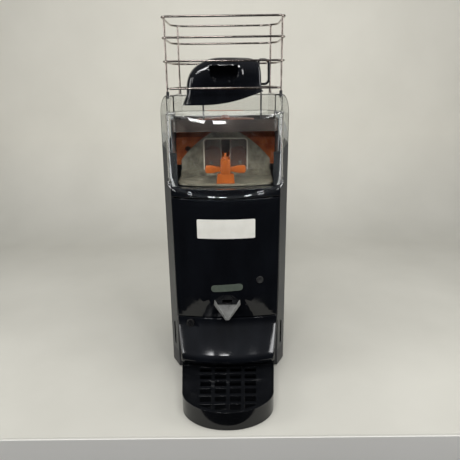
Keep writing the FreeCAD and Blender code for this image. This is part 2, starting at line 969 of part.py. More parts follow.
def arch_outline(inset, bottom):
    """Front plate outline: upright sides, bowed slopes and a rounded top."""
    half = arch_half_width - inset
    top = arch_top_z - inset
    shoulder = vec(half, 0, arch_shoulder_z)
    apex = vec(arch_apex_half, 0, top)
    slope = apex - shoulder
    outward = vec(-slope.z, 0, slope.x)
    outward.normalize()
    bulge = (shoulder + apex) / 2 - outward * arch_bow
    left_apex = vec(-apex.x, 0, apex.z)
    left_bulge = vec(-bulge.x, 0, bulge.z)
    left_shoulder = vec(-half, 0, arch_shoulder_z)
    crown = vec(0, 0, top + arch_bow / 2)
    edges = [
        Part.makeLine(vec(-half, 0, bottom), vec(half, 0, bottom)),
        Part.makeLine(vec(half, 0, bottom), shoulder),
        Part.Arc(shoulder, bulge, apex).toShape(),
        Part.Arc(apex, crown, left_apex).toShape(),
        Part.Arc(left_apex, left_bulge, left_shoulder).toShape(),
        Part.makeLine(left_shoulder, vec(-half, 0, bottom)),
    ]
    return Part.Wire(edges)


def arch_solid(inset, bottom, y0, y1):
    face = Part.Face(arch_outline(inset, bottom))
    face.translate(vec(0, y0, 0))
    return face.extrude(vec(0, y1 - y0, 0))


def window_solid(grow, y0, y1):
    half = window_half_width + grow
    points = rectangle(-half, half, window_bottom_z, window_top_z + grow)
    corner = window_corner + grow
    return front_solid(points, y0, y1, [0, 0, corner, corner])


def arch_plate():
    plate = arch_solid(0, arch_bottom_z, arch_y, arch_y + arch_thickness)
    return plate.cut(window_solid(0, arch_y - overrun, arch_y + overrun))


def window_rim():
    start = arch_y - window_rim_proud
    rim = window_solid(window_rim_width / 2, start, arch_y)
    return rim.cut(window_solid(-window_rim_width / 2, start - overrun, arch_y + overrun))


def smoke_panel_right():
    start = arch_y + arch_thickness
    panel = window_solid(window_rim_width, start, start + smoke_panel_thickness)
    panel = panel.cut(block(-half_body, smoke_slot_half, 0, back_y, 0, housing_top_z))
    edge = block(smoke_slot_half, smoke_slot_half + 2 * smoke_edge_half, arch_y - smoke_edge_half, start,
                 window_bottom_z, window_top_z - window_rim_width)
    return panel.fuse(edge).removeSplitter()


def catch_tray():
    """Folded steel tray before the arched plate, with a low lip round its front."""
    rise = catch_lip_rise
    profile = [
        (arch_y, catch_back_z),
        (catch_crease_y, catch_crease_z),
        (catch_front_y - catch_bow - overrun, catch_lip_z),
        (catch_front_y - catch_bow - overrun, catch_lip_z - sheet),
        (catch_crease_y, catch_crease_z - sheet),
        (arch_y, catch_back_z - sheet),
    ]
    half = arch_half_width + sheet
    floor = side_solid(profile, -half, half)
    plan = bowed_prism(sill_z, catch_back_z + rise, half, catch_front_y, catch_front_y - catch_bow,
                       arch_y, catch_corner)
    inner = bowed_prism(sill_z - overrun, catch_back_z + overrun, half - sheet, catch_front_y + sheet,
                        catch_front_y - catch_bow + sheet, arch_y + overrun, catch_corner - sheet)
    lip_profile = [
        (arch_y, catch_back_z),
        (arch_y, catch_back_z - sheet),
        (catch_crease_y, catch_crease_z - sheet),
        (catch_front_y - catch_bow - overrun, catch_lip_z - sheet),
        (catch_front_y - catch_bow - overrun, catch_lip_z + rise),
        (catch_crease_y, catch_crease_z + rise),
    ]
    lip = side_solid(lip_profile, -half, half).common(plan).cut(inner)
    return floor.common(plan).fuse(lip).removeSplitter()


def front_sill():
    """Black cross piece under the catch tray, with a skirt down to the door."""
    top = sill_z + moulding
    shell = bowed_prism(door_top_z + moulding + seam, top, door_half_width, 0, -door_bulge,
                        frame_upper_front_y - seam, door_corner)
    inner = bowed_prism(door_top_z - overrun, sill_z, door_half_width - moulding, moulding,
                        moulding - door_bulge, half_body, door_corner - moulding)
    sill = shell.cut(inner)
    sill = sill.cut(block(-half_body, half_body, flange_y - seam, half_body, 0, sill_z))
    ear = block(flange_inner_x() - seam, half_body, flange_y - seam, flange_y + sheet + seam,
                0, housing_top_z)
    sill = sill.cut([ear, mirrored(ear)])
    pin_top = door_top_z + moulding + seam
    boss = upright(door_boss_radius, door_pin_x, door_pin_y, pin_top, sill_z + seam)
    pin = upright(door_pin_radius, door_pin_x, door_pin_y, door_top_z - door_pin_length, pin_top + seam)
    return sill.fuse([boss, pin]).removeSplitter()


def door_block(inset):
    """Solid form of the door: a bowed upper part over a foot that slopes in."""
    half = door_half_width - inset
    back = door_back_y + (overrun if inset else 0)
    corner = door_corner - inset
    upper = bowed_prism(door_crease_z, door_top_z, half, inset, inset - door_bulge, back, corner)
    bottom = bowed_wire(door_bottom_z, half, inset, inset + door_foot_inset - door_bulge, back, corner)
    crease = bowed_wire(door_crease_z, half, inset, inset - door_bulge, back, corner)
    lower = Part.makeLoft([bottom, crease], True, True)
    return upper.fuse(lower)


def front_door():
    inner = door_block(moulding)
    room = block(-half_body, half_body, front_y, half_body, door_bottom_z + moulding, door_top_z - moulding)
    shell = door_block(0).cut(inner.common(room))
    top_boss = upright(door_boss_radius, door_pin_x, door_pin_y, door_top_z - door_boss_height, door_top_z)
    low_boss = upright(door_boss_radius, door_pin_x, door_pin_y, door_bottom_z,
                       door_bottom_z + door_boss_height)
    shell = shell.fuse([top_boss, low_boss])
    bore = door_pin_radius + running_gap
    deep = door_pin_length + seam
    shell = shell.cut(upright(bore, door_pin_x, door_pin_y, door_top_z - deep, door_top_z + overrun))
    shell = shell.cut(upright(bore, door_pin_x, door_pin_y, door_bottom_z - overrun, door_bottom_z + deep))
    shell = shell.cut(level(lock_radius, lock_x, lock_z, front_y, flange_y))
    slot_half = duct_radius
    mouth = block(-slot_half, slot_half, front_y, moulding - door_bulge + overrun,
                  spout_rear_z - duct_radius, spout_rear_z)
    return shell.cut(mouth).removeSplitter()


def door_skin(proud):
    return bowed_prism(door_crease_z, door_top_z, door_half_width, -proud, -door_bulge - proud,
                       door_back_y, door_corner)


def blank_plate():
    half = plate_width / 2
    points = rectangle(-half, half, plate_bottom_z, plate_bottom_z + plate_height)
    stamp = front_solid(points, front_y, 0, plate_corner)
    return stamp.common(door_skin(plate_thickness)).cut(door_skin(plate_seat))


def oval_plate():
    half = oval_width / 2
    round_end = oval_height / 2
    points = rectangle(-half, half, oval_z - round_end, oval_z + round_end)
    stamp = front_solid(points, front_y, 0, round_end - seat_gap)
    stamp.rotate(vec(0, 0, oval_z), vec(0, 1, 0), -oval_tilt)
    return stamp.common(door_skin(plate_thickness)).cut(door_skin(plate_seat))


def lock_face_y():
    return bow_y(lock_x, door_half_width, 0, -door_bulge) - lock_proud


def door_lock():
    """Cylinder lock with a key slot in front and a cam behind."""
    face = lock_face_y()
    barrel = level(lock_radius - running_gap, lock_x, lock_z, face, face + lock_proud + moulding)
    stem_end = door_back_y - lock_cam_thickness
    barrel = barrel.fuse(level(lock_barrel_radius, lock_x, lock_z, face + lock_proud, stem_end))
    half = lock_slot_width / 2
    reach = lock_radius * lock_slot_share
    slot = block(lock_x - half, lock_x + half, face - overrun, face + lock_slot_width,
                 lock_z - reach, lock_z + reach)
    cam_points = rectangle(lock_x - lock_cam_width / 2, lock_x + lock_cam_width / 2,
                           lock_z - lock_cam_width / 2, lock_z + lock_cam_reach)
    cam = front_solid(cam_points, stem_end, door_back_y, lock_cam_corner)
    return barrel.cut(slot).fuse(cam).removeSplitter()


def juice_spout():
    """Folded chute: a flat tapering floor between two triangular walls."""
    start = overrun + moulding - door_bulge
    end = moulding - door_bulge - spout_reach
    low = spout_rear_z - spout_drop
    floor_points = [
        vec(-spout_rear_half, start, spout_rear_z - spout_wall_height),
        vec(spout_rear_half, start, spout_rear_z - spout_wall_height),
        vec(spout_tip_half, end, low - spout_wall_height),
        vec(-spout_tip_half, end, low - spout_wall_height),
    ]
    drop = vec(0, 0, spout_sheet)
    floor = Part.Face(outline(floor_points, corner_list(floor_points, 0))).extrude(drop)
    lift = vec(0, 0, spout_wall_height)
    tip_top = floor_points[2] + vec(0, 0, spout_tip_wall)
    wall_points = [floor_points[1], floor_points[2], tip_top, floor_points[1] + lift]
    wall = Part.Face(outline(wall_points, corner_list(wall_points, 0))).extrude(vec(-spout_sheet, 0, 0))
    chute = floor.fuse([wall, mirrored(wall)])
    skin = door_block(0)
    return chute.cut(skin).removeSplitter()


def juice_duct():
    """Funnel and pipe inside the door, down to the spout."""
    bottom = spout_rear_z - spout_wall_height
    pipe = upright(duct_radius, 0, duct_y, bottom, duct_top_z - funnel_height)
    neck = vec(0, duct_y, duct_top_z - funnel_height)
    cone = Part.makeCone(duct_radius, funnel_radius, funnel_height, neck)
    inner = upright(duct_radius - duct_wall, 0, duct_y, bottom + duct_wall, duct_top_z)
    hollow = Part.makeCone(duct_radius - duct_wall, funnel_radius - duct_wall, funnel_height,
                           vec(0, duct_y, duct_top_z - funnel_height + seat_gap))
    duct = pipe.fuse(cone).cut(inner.fuse(hollow))
    reach = moulding - door_bulge + overrun
    lip = block(-duct_radius + duct_wall, duct_radius - duct_wall, reach, duct_y, bottom, bottom + duct_wall)
    window = block(-duct_radius / 2, duct_radius / 2, reach, duct_y, bottom + duct_wall,
                   spout_rear_z)
    return duct.fuse(lip).cut(window).removeSplitter()


def lower_panel_shape(inset, back):
    return bowed_loft(lower_levels, lower_halves, lower_side_ys, lower_centre_ys, back, lower_corner, inset)


def lower_panel():
    """Front panel whose foot flares out to a round lip over the tray."""
    back = flange_y - lower_back_gap
    room = block(-half_body, half_body, front_y, half_body, lower_bottom_z + moulding, lower_top_z - moulding)
    shell = lower_panel_shape(0, back).cut(lower_panel_shape(moulding, back + overrun).common(room))
    shell = shell.cut(level(button_radius + fit_gap, button_x, button_z, front_y, flange_y))
    boss = upright(door_boss_radius, door_pin_x, door_pin_y, lower_top_z - seam, door_bottom_z - seam)
    pin = upright(door_pin_radius, door_pin_x, door_pin_y, lower_top_z, door_bottom_z + door_pin_length)
    return shell.fuse([boss, pin]).removeSplitter()


def button_face_y():
    """Where the upper part of the panel's front lies behind the button."""
    part = (button_z - lower_waist_z) / (lower_top_z - lower_waist_z)
    side = lower_side_waist_y + (lower_side_top_y - lower_side_waist_y) * part
    centre = lower_centre_waist_y + (lower_centre_top_y - lower_centre_waist_y) * part
    half = lower_half_waist + (lower_half_top - lower_half_waist) * part
    return bow_y(button_x, half, side, centre)


def button_bezel():
    face = button_face_y()
    ring = level(button_bezel_radius, button_x, button_z, face - button_bezel_depth, face + seam)
    ring = ring.cut(level(button_radius + fit_gap, button_x, button_z, front_y, flange_y))
    return ring.cut(lower_panel_shape(0, flange_y - lower_back_gap))


def power_button():
    face = button_face_y() - button_bezel_depth - button_crown
    cap = level(button_radius, button_x, button_z, face, face + button_bezel_depth - button_travel)
    cap = cap.makeFillet(button_crown, [cap.Edges[0]])
    stem_radius = button_stem_radius
    stem = level(stem_radius, button_x, button_z, face + seam, face + button_stem_length)
    return cap.fuse(stem).removeSplitter()


def cover_shape(inset, back):
    """Bowed block whose top corners are round as seen from the front."""
    half = cover_half_width - inset
    face = front_solid([(-half, cover_low_z), (half, cover_low_z), (half, cover_high_z - inset),
                        (-half, cover_high_z - inset)], front_y, half_body,
                       [0, 0, cover_top_radius - inset, cover_top_radius - inset])
    bowed = bowed_loft(cover_levels, cover_halves, cover_side_ys, cover_centre_ys, back, cover_corner, inset)
    return bowed.common(face)


def below_cover_edge(rise):
    """Space under the slanting bottom edge of the cover."""
    side = (cover_side_ys[1], cover_edge_side_z + rise)
    centre = (cover_centre_ys[0], cover_edge_centre_z + rise)
    points = [
        (half_body, side[1]),
        side,
        centre,
        (front_y, centre[1]),
        (front_y, 0),
        (half_body, 0),
    ]
    return side_solid(points, -half_body, half_body)


def clear_cover():
    """Clear bowed cover with a thicker bottom rim, a narrow top lip and round hinge corners."""
    outer = cover_shape(0, cover_back_y)
    shell = outer.cut(cover_shape(cover_wall, cover_back_y + overrun))
    rim = cover_shape(-cover_rim_proud, cover_back_y).cut(outer).common(below_cover_edge(cover_rim_height))
    shell = shell.fuse(rim).cut(below_cover_edge(0))
    flat = cover_half_width - cover_top_radius
    shell = shell.cut(block(-flat, flat, cover_axis_y - cover_knuckle_radius, half_body,
                            cover_axis_z, cover_high_z + overrun))
    corner = block(-half_body, half_body, cover_axis_y, half_body, cover_axis_z, cover_high_z + overrun)
    ends = vec(-half_body, cover_axis_y, cover_axis_z), vec(half_body, cover_axis_y, cover_axis_z)
    shell = shell.cut(corner.cut(rod(cover_knuckle_radius, *ends)))
    return shell.cut(rod(pivot_radius + pivot_gap, *ends)).removeSplitter()


def cover_pivots():
    """Two metal blocks on the housing, each with a pin through the cover's side."""
    outside = cover_half_width - cover_top_radius - seam
    inside = outside - pivot_block_width
    half = pivot_block_height / 2
    points = rectangle(cover_axis_y - half, flange_y, cover_axis_z - half, cover_axis_z + half)
    body = side_solid(points, inside, outside, [pivot_block_corner, 0, 0, pivot_block_corner])
    pin = rod(pivot_radius, vec(outside - seam, cover_axis_y, cover_axis_z),
              vec(cover_half_width, cover_axis_y, cover_axis_z))
    pivot = body.fuse(pin).removeSplitter()
    return grouped([pivot, mirrored(pivot)])


def shoulder_arc(side, inset):
    """Quarter ellipse, from the flat top down to one upright side of the housing."""
    middle = vec(side * (half_body - shoulder_run), front_y, housing_top_z - shoulder_rise)
    top = middle + vec(0, 0, shoulder_rise - inset)
    out = middle + vec(side * (shoulder_run - inset), 0, 0)
    return Part.Arc(Part.Ellipse(top, out, middle), 0, math.pi / 2).toShape()


def housing_block(low, inset):
    """Body plan carried up to elliptical shoulders and a round rear edge."""
    right, left = shoulder_arc(1, inset), shoulder_arc(-1, inset)
    foot = [vec(side * (half_body - inset), front_y, low) for side in (1, -1)]
    tops = [arc.Vertexes[0].Point for arc in (right, left)]
    sides = [arc.Vertexes[-1].Point for arc in (right, left)]
    wire = Part.Wire([Part.makeLine(foot[1], foot[0]), Part.makeLine(foot[0], sides[0]), right,
                      Part.makeLine(tops[0], tops[1]), left, Part.makeLine(sides[1], foot[1])])
    across = Part.Face(wire).extrude(vec(0, overall_depth, 0))
    top = housing_top_z - inset
    along = side_solid(rectangle(front_y, back_y - inset, low, top), -half_body, half_body,
                       [0, 0, shoulder_back_radius - inset, 0])
    return plan_solid(body_plan(inset), low, top).common(across).common(along)


def clear_housing():
    """Clear upper shell with round shoulders, open in front and at the hopper."""
    low = panel_front_top_z - overrun
    outer = housing_block(low, 0)
    inner = housing_block(low - overrun, clear_wall)
    shell = outer.cut(inner)
    top = housing_top_z + overrun
    half = hopper_half_width
    back = rear_y - 2 * hopper_rim
    wall = block(-half - hopper_rim, half + hopper_rim, flange_y, back + hopper_rim,
                 pan_top_z + seat_gap, housing_top_z)
    shell = shell.fuse(wall.common(outer))
    shell = shell.cut(block(-half, half, front_y, back, low - overrun, top))
    shell = shell.cut(block(-front_half - seam, front_half + seam, front_y, flange_y + clear_wall + seam,
                            low - overrun, cover_axis_z - pivot_block_height))
    base = panel_roof(seam)
    shell = shell.common(base)
    for x, y in leg_places():
        socket = upright(basket_wire + leg_socket_gap, x, y, basket_leg_z - seat_gap, top)
        shell = shell.cut(socket)
    return shell.removeSplitter()




def ring_wire(z, inset):
    """Centre line of one basket ring, tight at the front and wide at the back."""
    half = basket_ring_half - inset
    corners = [
        vec(-half, basket_front_y + inset, z),
        vec(half, basket_front_y + inset, z),
        vec(half, basket_back_y - inset, z),
        vec(-half, basket_back_y - inset, z),
    ]
    tight = basket_front_corner - inset
    wide = basket_back_corner - inset
    return outline(corners, [tight, tight, wide, wide])


def wire_ring(z, inset):
    path = ring_wire(z, inset)
    start = path.OrderedVertexes[0].Point
    ahead = path.OrderedEdges[0]
    direction = ahead.tangentAt(ahead.FirstParameter)
    profile = Part.Wire([Part.makeCircle(basket_wire, start, direction)])
    return path.makePipeShell([profile], True, False)


def leg_places():
    """Where the basket's four legs stand in the shoulders."""
    inset = 2 * basket_wire
    half = basket_ring_half - inset
    front = basket_front_y + basket_front_corner
    middle = basket_back_corner
    reach = (basket_back_corner - inset) / math.sqrt(2)
    back_x = basket_ring_half - middle + reach
    back = basket_back_y - middle + reach
    return [(-half, front), (half, front), (-back_x, back), (back_x, back)]


def basket():
    top = basket_top_z - basket_wire
    rings = [wire_ring(z, 0) for z in [top] + basket_ring_zs]
    rings.append(wire_ring(basket_foot_z, basket_foot_inset))
    posts = [upright(basket_wire, x, y, basket_leg_z, top) for x, y in leg_places()]
    return grouped(rings + posts)


def hood_bottom(x):
    """Height of the hood's slanting lower edge."""
    return hood_low_z + max(x - hood_bend_x, 0) * math.tan(math.radians(hood_slope))


def hood_block(inset, drop):
    """Outer form of the hood: a slanting foot, a stepped left end and a roof with a ridge."""
    left = hood_left_x + inset
    right = hood_right_x - inset
    top = hood_top_z - inset
    face = [
        (left, hood_low_z - drop),
        (hood_bend_x, hood_low_z - drop),
        (right, hood_bottom(right) - drop),
        (right, top),
        (hood_crown_x, top),
        (left, hood_shoulder_z - inset),
    ]
    turns = [hood_corner, hood_bend_radius, 0, hood_corner, hood_crown_radius, hood_shoulder_radius]
    ridge = (hood_front_y + hood_back_y) / 2
    half = hood_ridge_width / 2
    roof = [
        (hood_front_y + inset, hood_low_z - drop),
        (hood_back_y - inset, hood_low_z - drop),
        (hood_back_y - inset, hood_crease_z),
        (ridge + half, top),
        (ridge - half, top),
        (hood_front_y + inset, hood_crease_z),
    ]
    bends = [0, 0, hood_crease_radius, hood_ridge_radius, hood_ridge_radius, hood_crease_radius]
    across = front_solid(face, hood_front_y, hood_back_y, turns)
    return across.common(side_solid(roof, -half_body, half_body, bends))


def hood_flange_strip():
    """Flange along the slanting foot of the hood."""
    ends = [(hood_left_x, hood_low_z), (hood_bend_x, hood_low_z), (hood_right_x, hood_bottom(hood_right_x))]
    upper = [(x, z + hood_flange_thickness) for x, z in reversed(ends)]
    return front_solid(ends + upper, hood_front_y - hood_flange, hood_back_y + hood_flange,
                       [0, hood_bend_radius, 0, 0, hood_bend_radius - hood_flange_thickness, 0])


def hood_handle(middle):
    """Loop handle on the right end of the hood."""
    high = hood_top_z - hood_corner
    low = high - handle_height
    out = hood_right_x + handle_reach
    loop = front_solid(rectangle(hood_right_x - hood_wall, out, low, high), middle - handle_width / 2,
                       middle + handle_width / 2, [0, handle_bar, handle_bar, 0])
    hole = front_solid(rectangle(hood_right_x, out - handle_bar, low + handle_bar, high - handle_bar),
                       hood_front_y, hood_back_y, handle_hole_corner)
    return loop.cut(hole)


def loose_hood():
    """Moulded hood with a slanting foot, a hand recess in its roof and a loop handle."""
    half = hood_pocket_width / 2
    left, right = hood_pocket_x - half, hood_pocket_x + half
    lined_y = hood_front_y + hood_pocket_depth
    pocket = rectangle(left, right, hood_pocket_low_z, hood_pocket_high_z)
    recess = front_solid(pocket, hood_front_y - overrun, lined_y,
                         [hood_pocket_corner, hood_pocket_corner, 0, 0])
    lining = front_solid(rectangle(left - hood_wall, right + hood_wall, hood_pocket_low_z - hood_wall,
                                   hood_pocket_high_z + hood_wall), hood_front_y, lined_y + hood_wall)
    inner = hood_block(hood_wall, overrun)
    shell = hood_block(0, 0).cut(inner.cut(lining)).fuse(hood_flange_strip().cut(inner))
    middle = (hood_front_y + hood_back_y) / 2
    ear = front_solid(rectangle(hood_left_x - hood_ear_reach, hood_left_x + hood_wall, hood_low_z,
                                hood_low_z + hood_ear_height), middle - hood_ear_width / 2,
                      middle + hood_ear_width / 2, [hood_ear_corner, 0, 0, hood_ear_corner])
    return shell.fuse([ear.cut(inner), hood_handle(middle)]).cut(recess).removeSplitter()


def hopper_posts():
    """Two posts in the pan that carry the loose hood."""
    posts = []
    for x in (post_left_x, post_right_x):
        top = hood_bottom(x - post_radius) - seat_gap
        foot = upright(post_foot_radius, x, post_y, pan_floor_z, pan_floor_z + post_foot_height)
        posts.append(foot.fuse(upright(post_radius, x, post_y, pan_floor_z, top)).removeSplitter())
    return grouped(posts)


def hopper_pan():
    """Pan under the basket, with a step down, the feed floor and the drop hole."""
    plan = rectangle(-pan_half_width, pan_half_width, pan_front_y, pan_back_y)
    corners = [pan_corner, pan_corner, 0, 0]
    outer = plan_solid(plan, pan_bottom_z, pan_top_z, corners)
    wall = pan_wall
    half = pan_half_width - wall
    inner_plan = rectangle(-half, half, pan_front_y + wall, pan_back_y - wall)
    inner_corners = [pan_corner - wall, pan_corner - wall, 0, 0]
    upper = plan_solid(inner_plan, pan_floor_z, pan_top_z + overrun, inner_corners)
    lower = plan_solid(inner_plan, pan_bottom_z - overrun, pan_floor_z - wall, inner_corners)
    pan = outer.cut(upper.fuse(lower))
    hole = upright(drop_radius, 0, disc_y + disc_pocket_offset, pan_bottom_z - overrun, pan_top_z)
    bore = upright(disc_shaft_radius + running_gap, 0, disc_y, pan_bottom_z - overrun, pan_top_z)
    before_wall = block(-half_body, half_body, 0, pan_back_y - wall, 0, housing_top_z)
    return pan.cut(hole.common(before_wall)).cut(bore)


def feed_disc():
    """Turntable with round pockets that carry one orange each to the drop hole."""
    bottom = pan_floor_z + seam
    top = bottom + disc_thickness
    disc = upright(disc_radius, 0, disc_y, bottom, top)
    for index in range(disc_pockets):
        angle = math.pi / 2 + index * 2 * math.pi / disc_pockets
        x = disc_pocket_offset * math.cos(angle)
        y = disc_y + disc_pocket_offset * math.sin(angle)
        disc = disc.cut(upright(disc_pocket_radius - seam, x, y, bottom - overrun, top + overrun))
    hub = Part.makeCone(disc_hub_radius, disc_hub_radius / 2, disc_hub_height, vec(0, disc_y, top))
    shaft = upright(disc_shaft_radius, 0, disc_y, pan_floor_z - pan_wall - sheet, top)
    core = upright(disc_hub_radius, 0, disc_y, bottom, top)
    return disc.fuse([hub, shaft, core]).removeSplitter()


def feed_motor():
    top = pan_floor_z - pan_wall
    body = upright(feed_motor_radius, 0, disc_y - disc_hub_radius, top - feed_motor_height, top)
    body = body.cut(upright(drop_radius + seam, 0, disc_y + disc_pocket_offset, 0, top + overrun))
    bore = upright(disc_shaft_radius + running_gap, 0, disc_y, top - sheet - seat_gap, top + overrun)
    return body.cut(bore)


def drum_hood():
    """Guard over the drums: upright front, sloping top and a mouth for the oranges."""
    def form(inset, low):
        points = [
            (drum_hood_front_y + inset, low),
            (drum_hood_front_y + inset, drum_hood_front_z - inset / 2),
            (drum_hood_ridge_y, drum_hood_top_z - inset),
            (drum_hood_back_y + (overrun if inset else 0), drum_hood_top_z - inset),
            (drum_hood_back_y + (overrun if inset else 0), low),
        ]
        half = drum_hood_half_width - inset
        return side_solid(points, -half, half)
    shell = form(0, drum_hood_bottom_z).cut(form(drum_hood_wall, drum_hood_bottom_z - overrun))
    end = drum_hood_front_y + drum_hood_wall + seam
    shell = shell.cut(arch_solid(drum_hood_corner / 2, 0, arch_y, end))
    shell = shell.cut(upright(drum_hood_mouth_radius, 0, disc_y + disc_pocket_offset,
                              drum_hood_front_z, pan_bottom_z))
    shell = shell.cut(level(drum_hood_hole_radius, drum_hood_hole_x, drum_hood_hole_z, arch_y, end))
    start = drum_hood_front_y - drum_hood_ring_proud
    ring = level(drum_hood_ring_radius, drum_hood_ring_x, drum_hood_hole_z, start, end - seam)
    ring = ring.cut(level(drum_hood_ring_radius / 2, drum_hood_ring_x, drum_hood_hole_z, arch_y, end))
    bore = level(drum_hood_ring_radius / 2, drum_hood_ring_x, drum_hood_hole_z, arch_y, end)
    return shell.fuse(ring).cut(bore).removeSplitter()


def knob_block():
    points = [
        (-knob_block_bottom_half, catch_lip_z),
        (knob_block_bottom_half, catch_lip_z),
        (knob_block_top_half, knob_block_top_z),
        (-knob_block_top_half, knob_block_top_z),
    ]
    half = knob_block_depth / 2
    body = front_solid(points, knob_y - half, knob_y + half, [0, 0, knob_edge / 2, knob_edge / 2])
    profile = [
        (knob_y - half - overrun, catch_lip_z - overrun),
        (arch_y, catch_lip_z - overrun),
        (catch_crease_y, catch_crease_z),
        (catch_front_y - catch_bow - overrun, catch_lip_z),
    ]
    body = body.cut(side_solid(profile, -half_body, half_body))
    stud = upright(knob_stud_radius, 0, knob_y, catch_crease_z, knob_block_top_z + knob_stud_height)
    return body.fuse(stud).removeSplitter()


def wing_knob():
    """Wing nut: two round-ended wings, a square body and a thin pin on top."""
    wing_top = knob_wing_bottom_z + knob_wing_height
    half = knob_wing_depth / 2
    wings = plan_solid(rectangle(-knob_wing_half, knob_wing_half, knob_y - half, knob_y + half),
                       knob_wing_bottom_z, wing_top, knob_wing_end)
    sides = front_solid([(-knob_wing_half, knob_wing_bottom_z), (knob_wing_half, knob_wing_bottom_z),
                         (knob_wing_half, wing_top), (-knob_wing_half, wing_top)],
                        knob_y - half, knob_y + half, knob_wing_corner)
    wings = wings.common(sides)
    deep = knob_body_depth / 2
    body = plan_solid(rectangle(-knob_body_half, knob_body_half, knob_y - deep, knob_y + deep),
                      knob_block_top_z + seat_gap, knob_body_top_z, knob_edge)
    pin = upright(knob_pin_radius, 0, knob_y, knob_body_top_z - knob_edge, knob_pin_top_z)
    bore = upright(knob_stud_radius + running_gap, 0, knob_y, 0,
                   knob_block_top_z + knob_stud_height + seam)
    return wings.fuse([body, pin]).cut(bore).removeSplitter()


def juice_filter():
    outer = block(-filter_half_width, filter_half_width, collector_front_y, collector_back_y,
                  filter_top_z - filter_depth, filter_top_z)
    wall = filter_wall
    inner = block(-filter_half_width + wall, filter_half_width - wall, collector_front_y + wall,
                  collector_back_y - wall, filter_top_z - filter_depth + wall, filter_top_z + overrun)
    tray = outer.cut(inner)
    pitch = 2 * (filter_half_width - 2 * wall) / filter_slot_count
    half = pitch * filter_slot_share / 2
    for index in range(filter_slot_count):
        x = -filter_half_width + 2 * wall + pitch * (index + 1 / 2)
        tray = tray.cut(block(x - half, x + half, collector_front_y + 2 * wall,
                              collector_back_y - 2 * wall, filter_top_z - 2 * filter_depth, filter_top_z))
    return tray


def juice_collector():
    """Sloping tank under the filter with a pipe forward to the door."""
    floor_z = collector_floor_z
    outer_points = [
        (collector_front_y - overrun, floor_z),
        (collector_back_y, floor_z + collector_depth / 2),
        (collector_back_y, collector_top_z),
        (collector_front_y - overrun, collector_top_z),
    ]
    half = collector_half_width
    outer = side_solid(outer_points, -half, half)
    wall = collector_wall
    inner_points = [
        (collector_front_y - overrun + wall, floor_z + wall + seat_gap),
        (collector_back_y - wall, floor_z + collector_depth / 2 + wall),
        (collector_back_y - wall, collector_top_z + overrun),
        (collector_front_y - overrun + wall, collector_top_z + overrun),
    ]
    tank = outer.cut(side_solid(inner_points, -half + wall, half - wall))
    z = outlet_z + wall
    pipe = level(outlet_radius, 0, z, outlet_end_y, collector_front_y - overrun + wall)
    bore = level(outlet_radius - outlet_wall, 0, z, outlet_end_y - overrun, collector_front_y)
    return tank.fuse(pipe).cut(bore).removeSplitter()


def peel_chute_right():
    spread = chute_spread
    points = [
        (chute_inner_x, chute_top_z),
        (chute_inner_x + sheet, chute_top_z),
        (chute_inner_x + sheet, (chute_top_z + chute_bottom_z) / 2),
        (chute_inner_x + spread, chute_bottom_z),
        (chute_inner_x + spread - sheet, chute_bottom_z),
        (chute_inner_x, (chute_top_z + chute_bottom_z) / 2 - seam),
    ]
    return front_solid(points, collector_front_y, bulkhead_y)


def peel_bin():
    def tub(inset, low, top):
        half = bin_half_width - inset
        lower = half - bin_taper
        front = bin_front_y + inset
        back = bin_back_y - inset
        corner = bin_corner - inset
        taper = bin_taper
        foot = [vec(x, y, low) for x, y in rectangle(-lower, lower, front + taper, back - taper)]
        bottom = outline(foot, corner_list(foot, corner))
        brim = [vec(x, y, top) for x, y in rectangle(-half, half, front, back)]
        rim = outline(brim, corner_list(brim, corner))
        return Part.makeLoft([bottom, rim], True, True)
    tub_shape = tub(0, shelf_z + sheet, bin_top_z).cut(tub(bin_wall, shelf_z + sheet + bin_wall,
                                                          bin_top_z + seat_gap))
    rim_plan = rectangle(-bin_half_width - bin_lip, bin_half_width + bin_lip, bin_front_y - bin_lip,
                         bin_back_y + bin_lip)
    rim = plan_solid(rim_plan, bin_top_z - bin_wall, bin_top_z, bin_corner + bin_lip)
    hole_plan = rectangle(-bin_half_width + bin_wall, bin_half_width - bin_wall,
                          bin_front_y + bin_wall, bin_back_y - bin_wall)
    rim = rim.cut(plan_solid(hole_plan, 0, housing_top_z, bin_corner - bin_wall))
    return tub_shape.fuse(rim).removeSplitter()


def bin_shelf():
    half = frame_plate_x
    return block(-half, half, frame_front_y, bulkhead_y, shelf_z, shelf_z + sheet)


def drive_motor():
    face = bulkhead_y
    x = drum_ball_x
    box = level(gearbox_radius, x, motor_z, face - gearbox_length, face)
    can = level(motor_radius, x, motor_z, face - gearbox_length - motor_length, face - gearbox_length)
    flange = level(motor_radius, x, motor_z, face - motor_flange, face)
    body = joined([box, can, flange])
    nose = level(gearbox_radius / 2 - fit_gap, x, motor_z, face, face + bulkhead_thickness)
    bore = level(shaft_radius + running_gap, x, motor_z, face - gearbox_length, back_y)
    return body.fuse(nose).cut(bore).removeSplitter()


def pulley(x, z, radius, bore):
    """Flanged belt pulley."""
    lip = belt_thickness
    wheel = level(radius, x, z, pulley_y, pulley_y + pulley_width)
    rims = [level(radius + lip, x, z, pulley_y - sheet, pulley_y),
            level(radius + lip, x, z, pulley_y + pulley_width, pulley_y + pulley_width + sheet)]
    wheel = wheel.fuse(rims)
    if bore:
        wheel = wheel.cut(level(shaft_radius, x, z, gear_y, back_y))
    return wheel.removeSplitter()


def motor_pulley():
    wheel = pulley(drum_ball_x, motor_z, pulley_drive_radius, False)
    stem = level(shaft_radius, drum_ball_x, motor_z, bulkhead_y - gearbox_length / 2, pulley_y)
    return wheel.fuse(stem).removeSplitter()


def driven_pulley():
    return pulley(drum_ball_x, drum_ball_z, pulley_driven_radius, True)


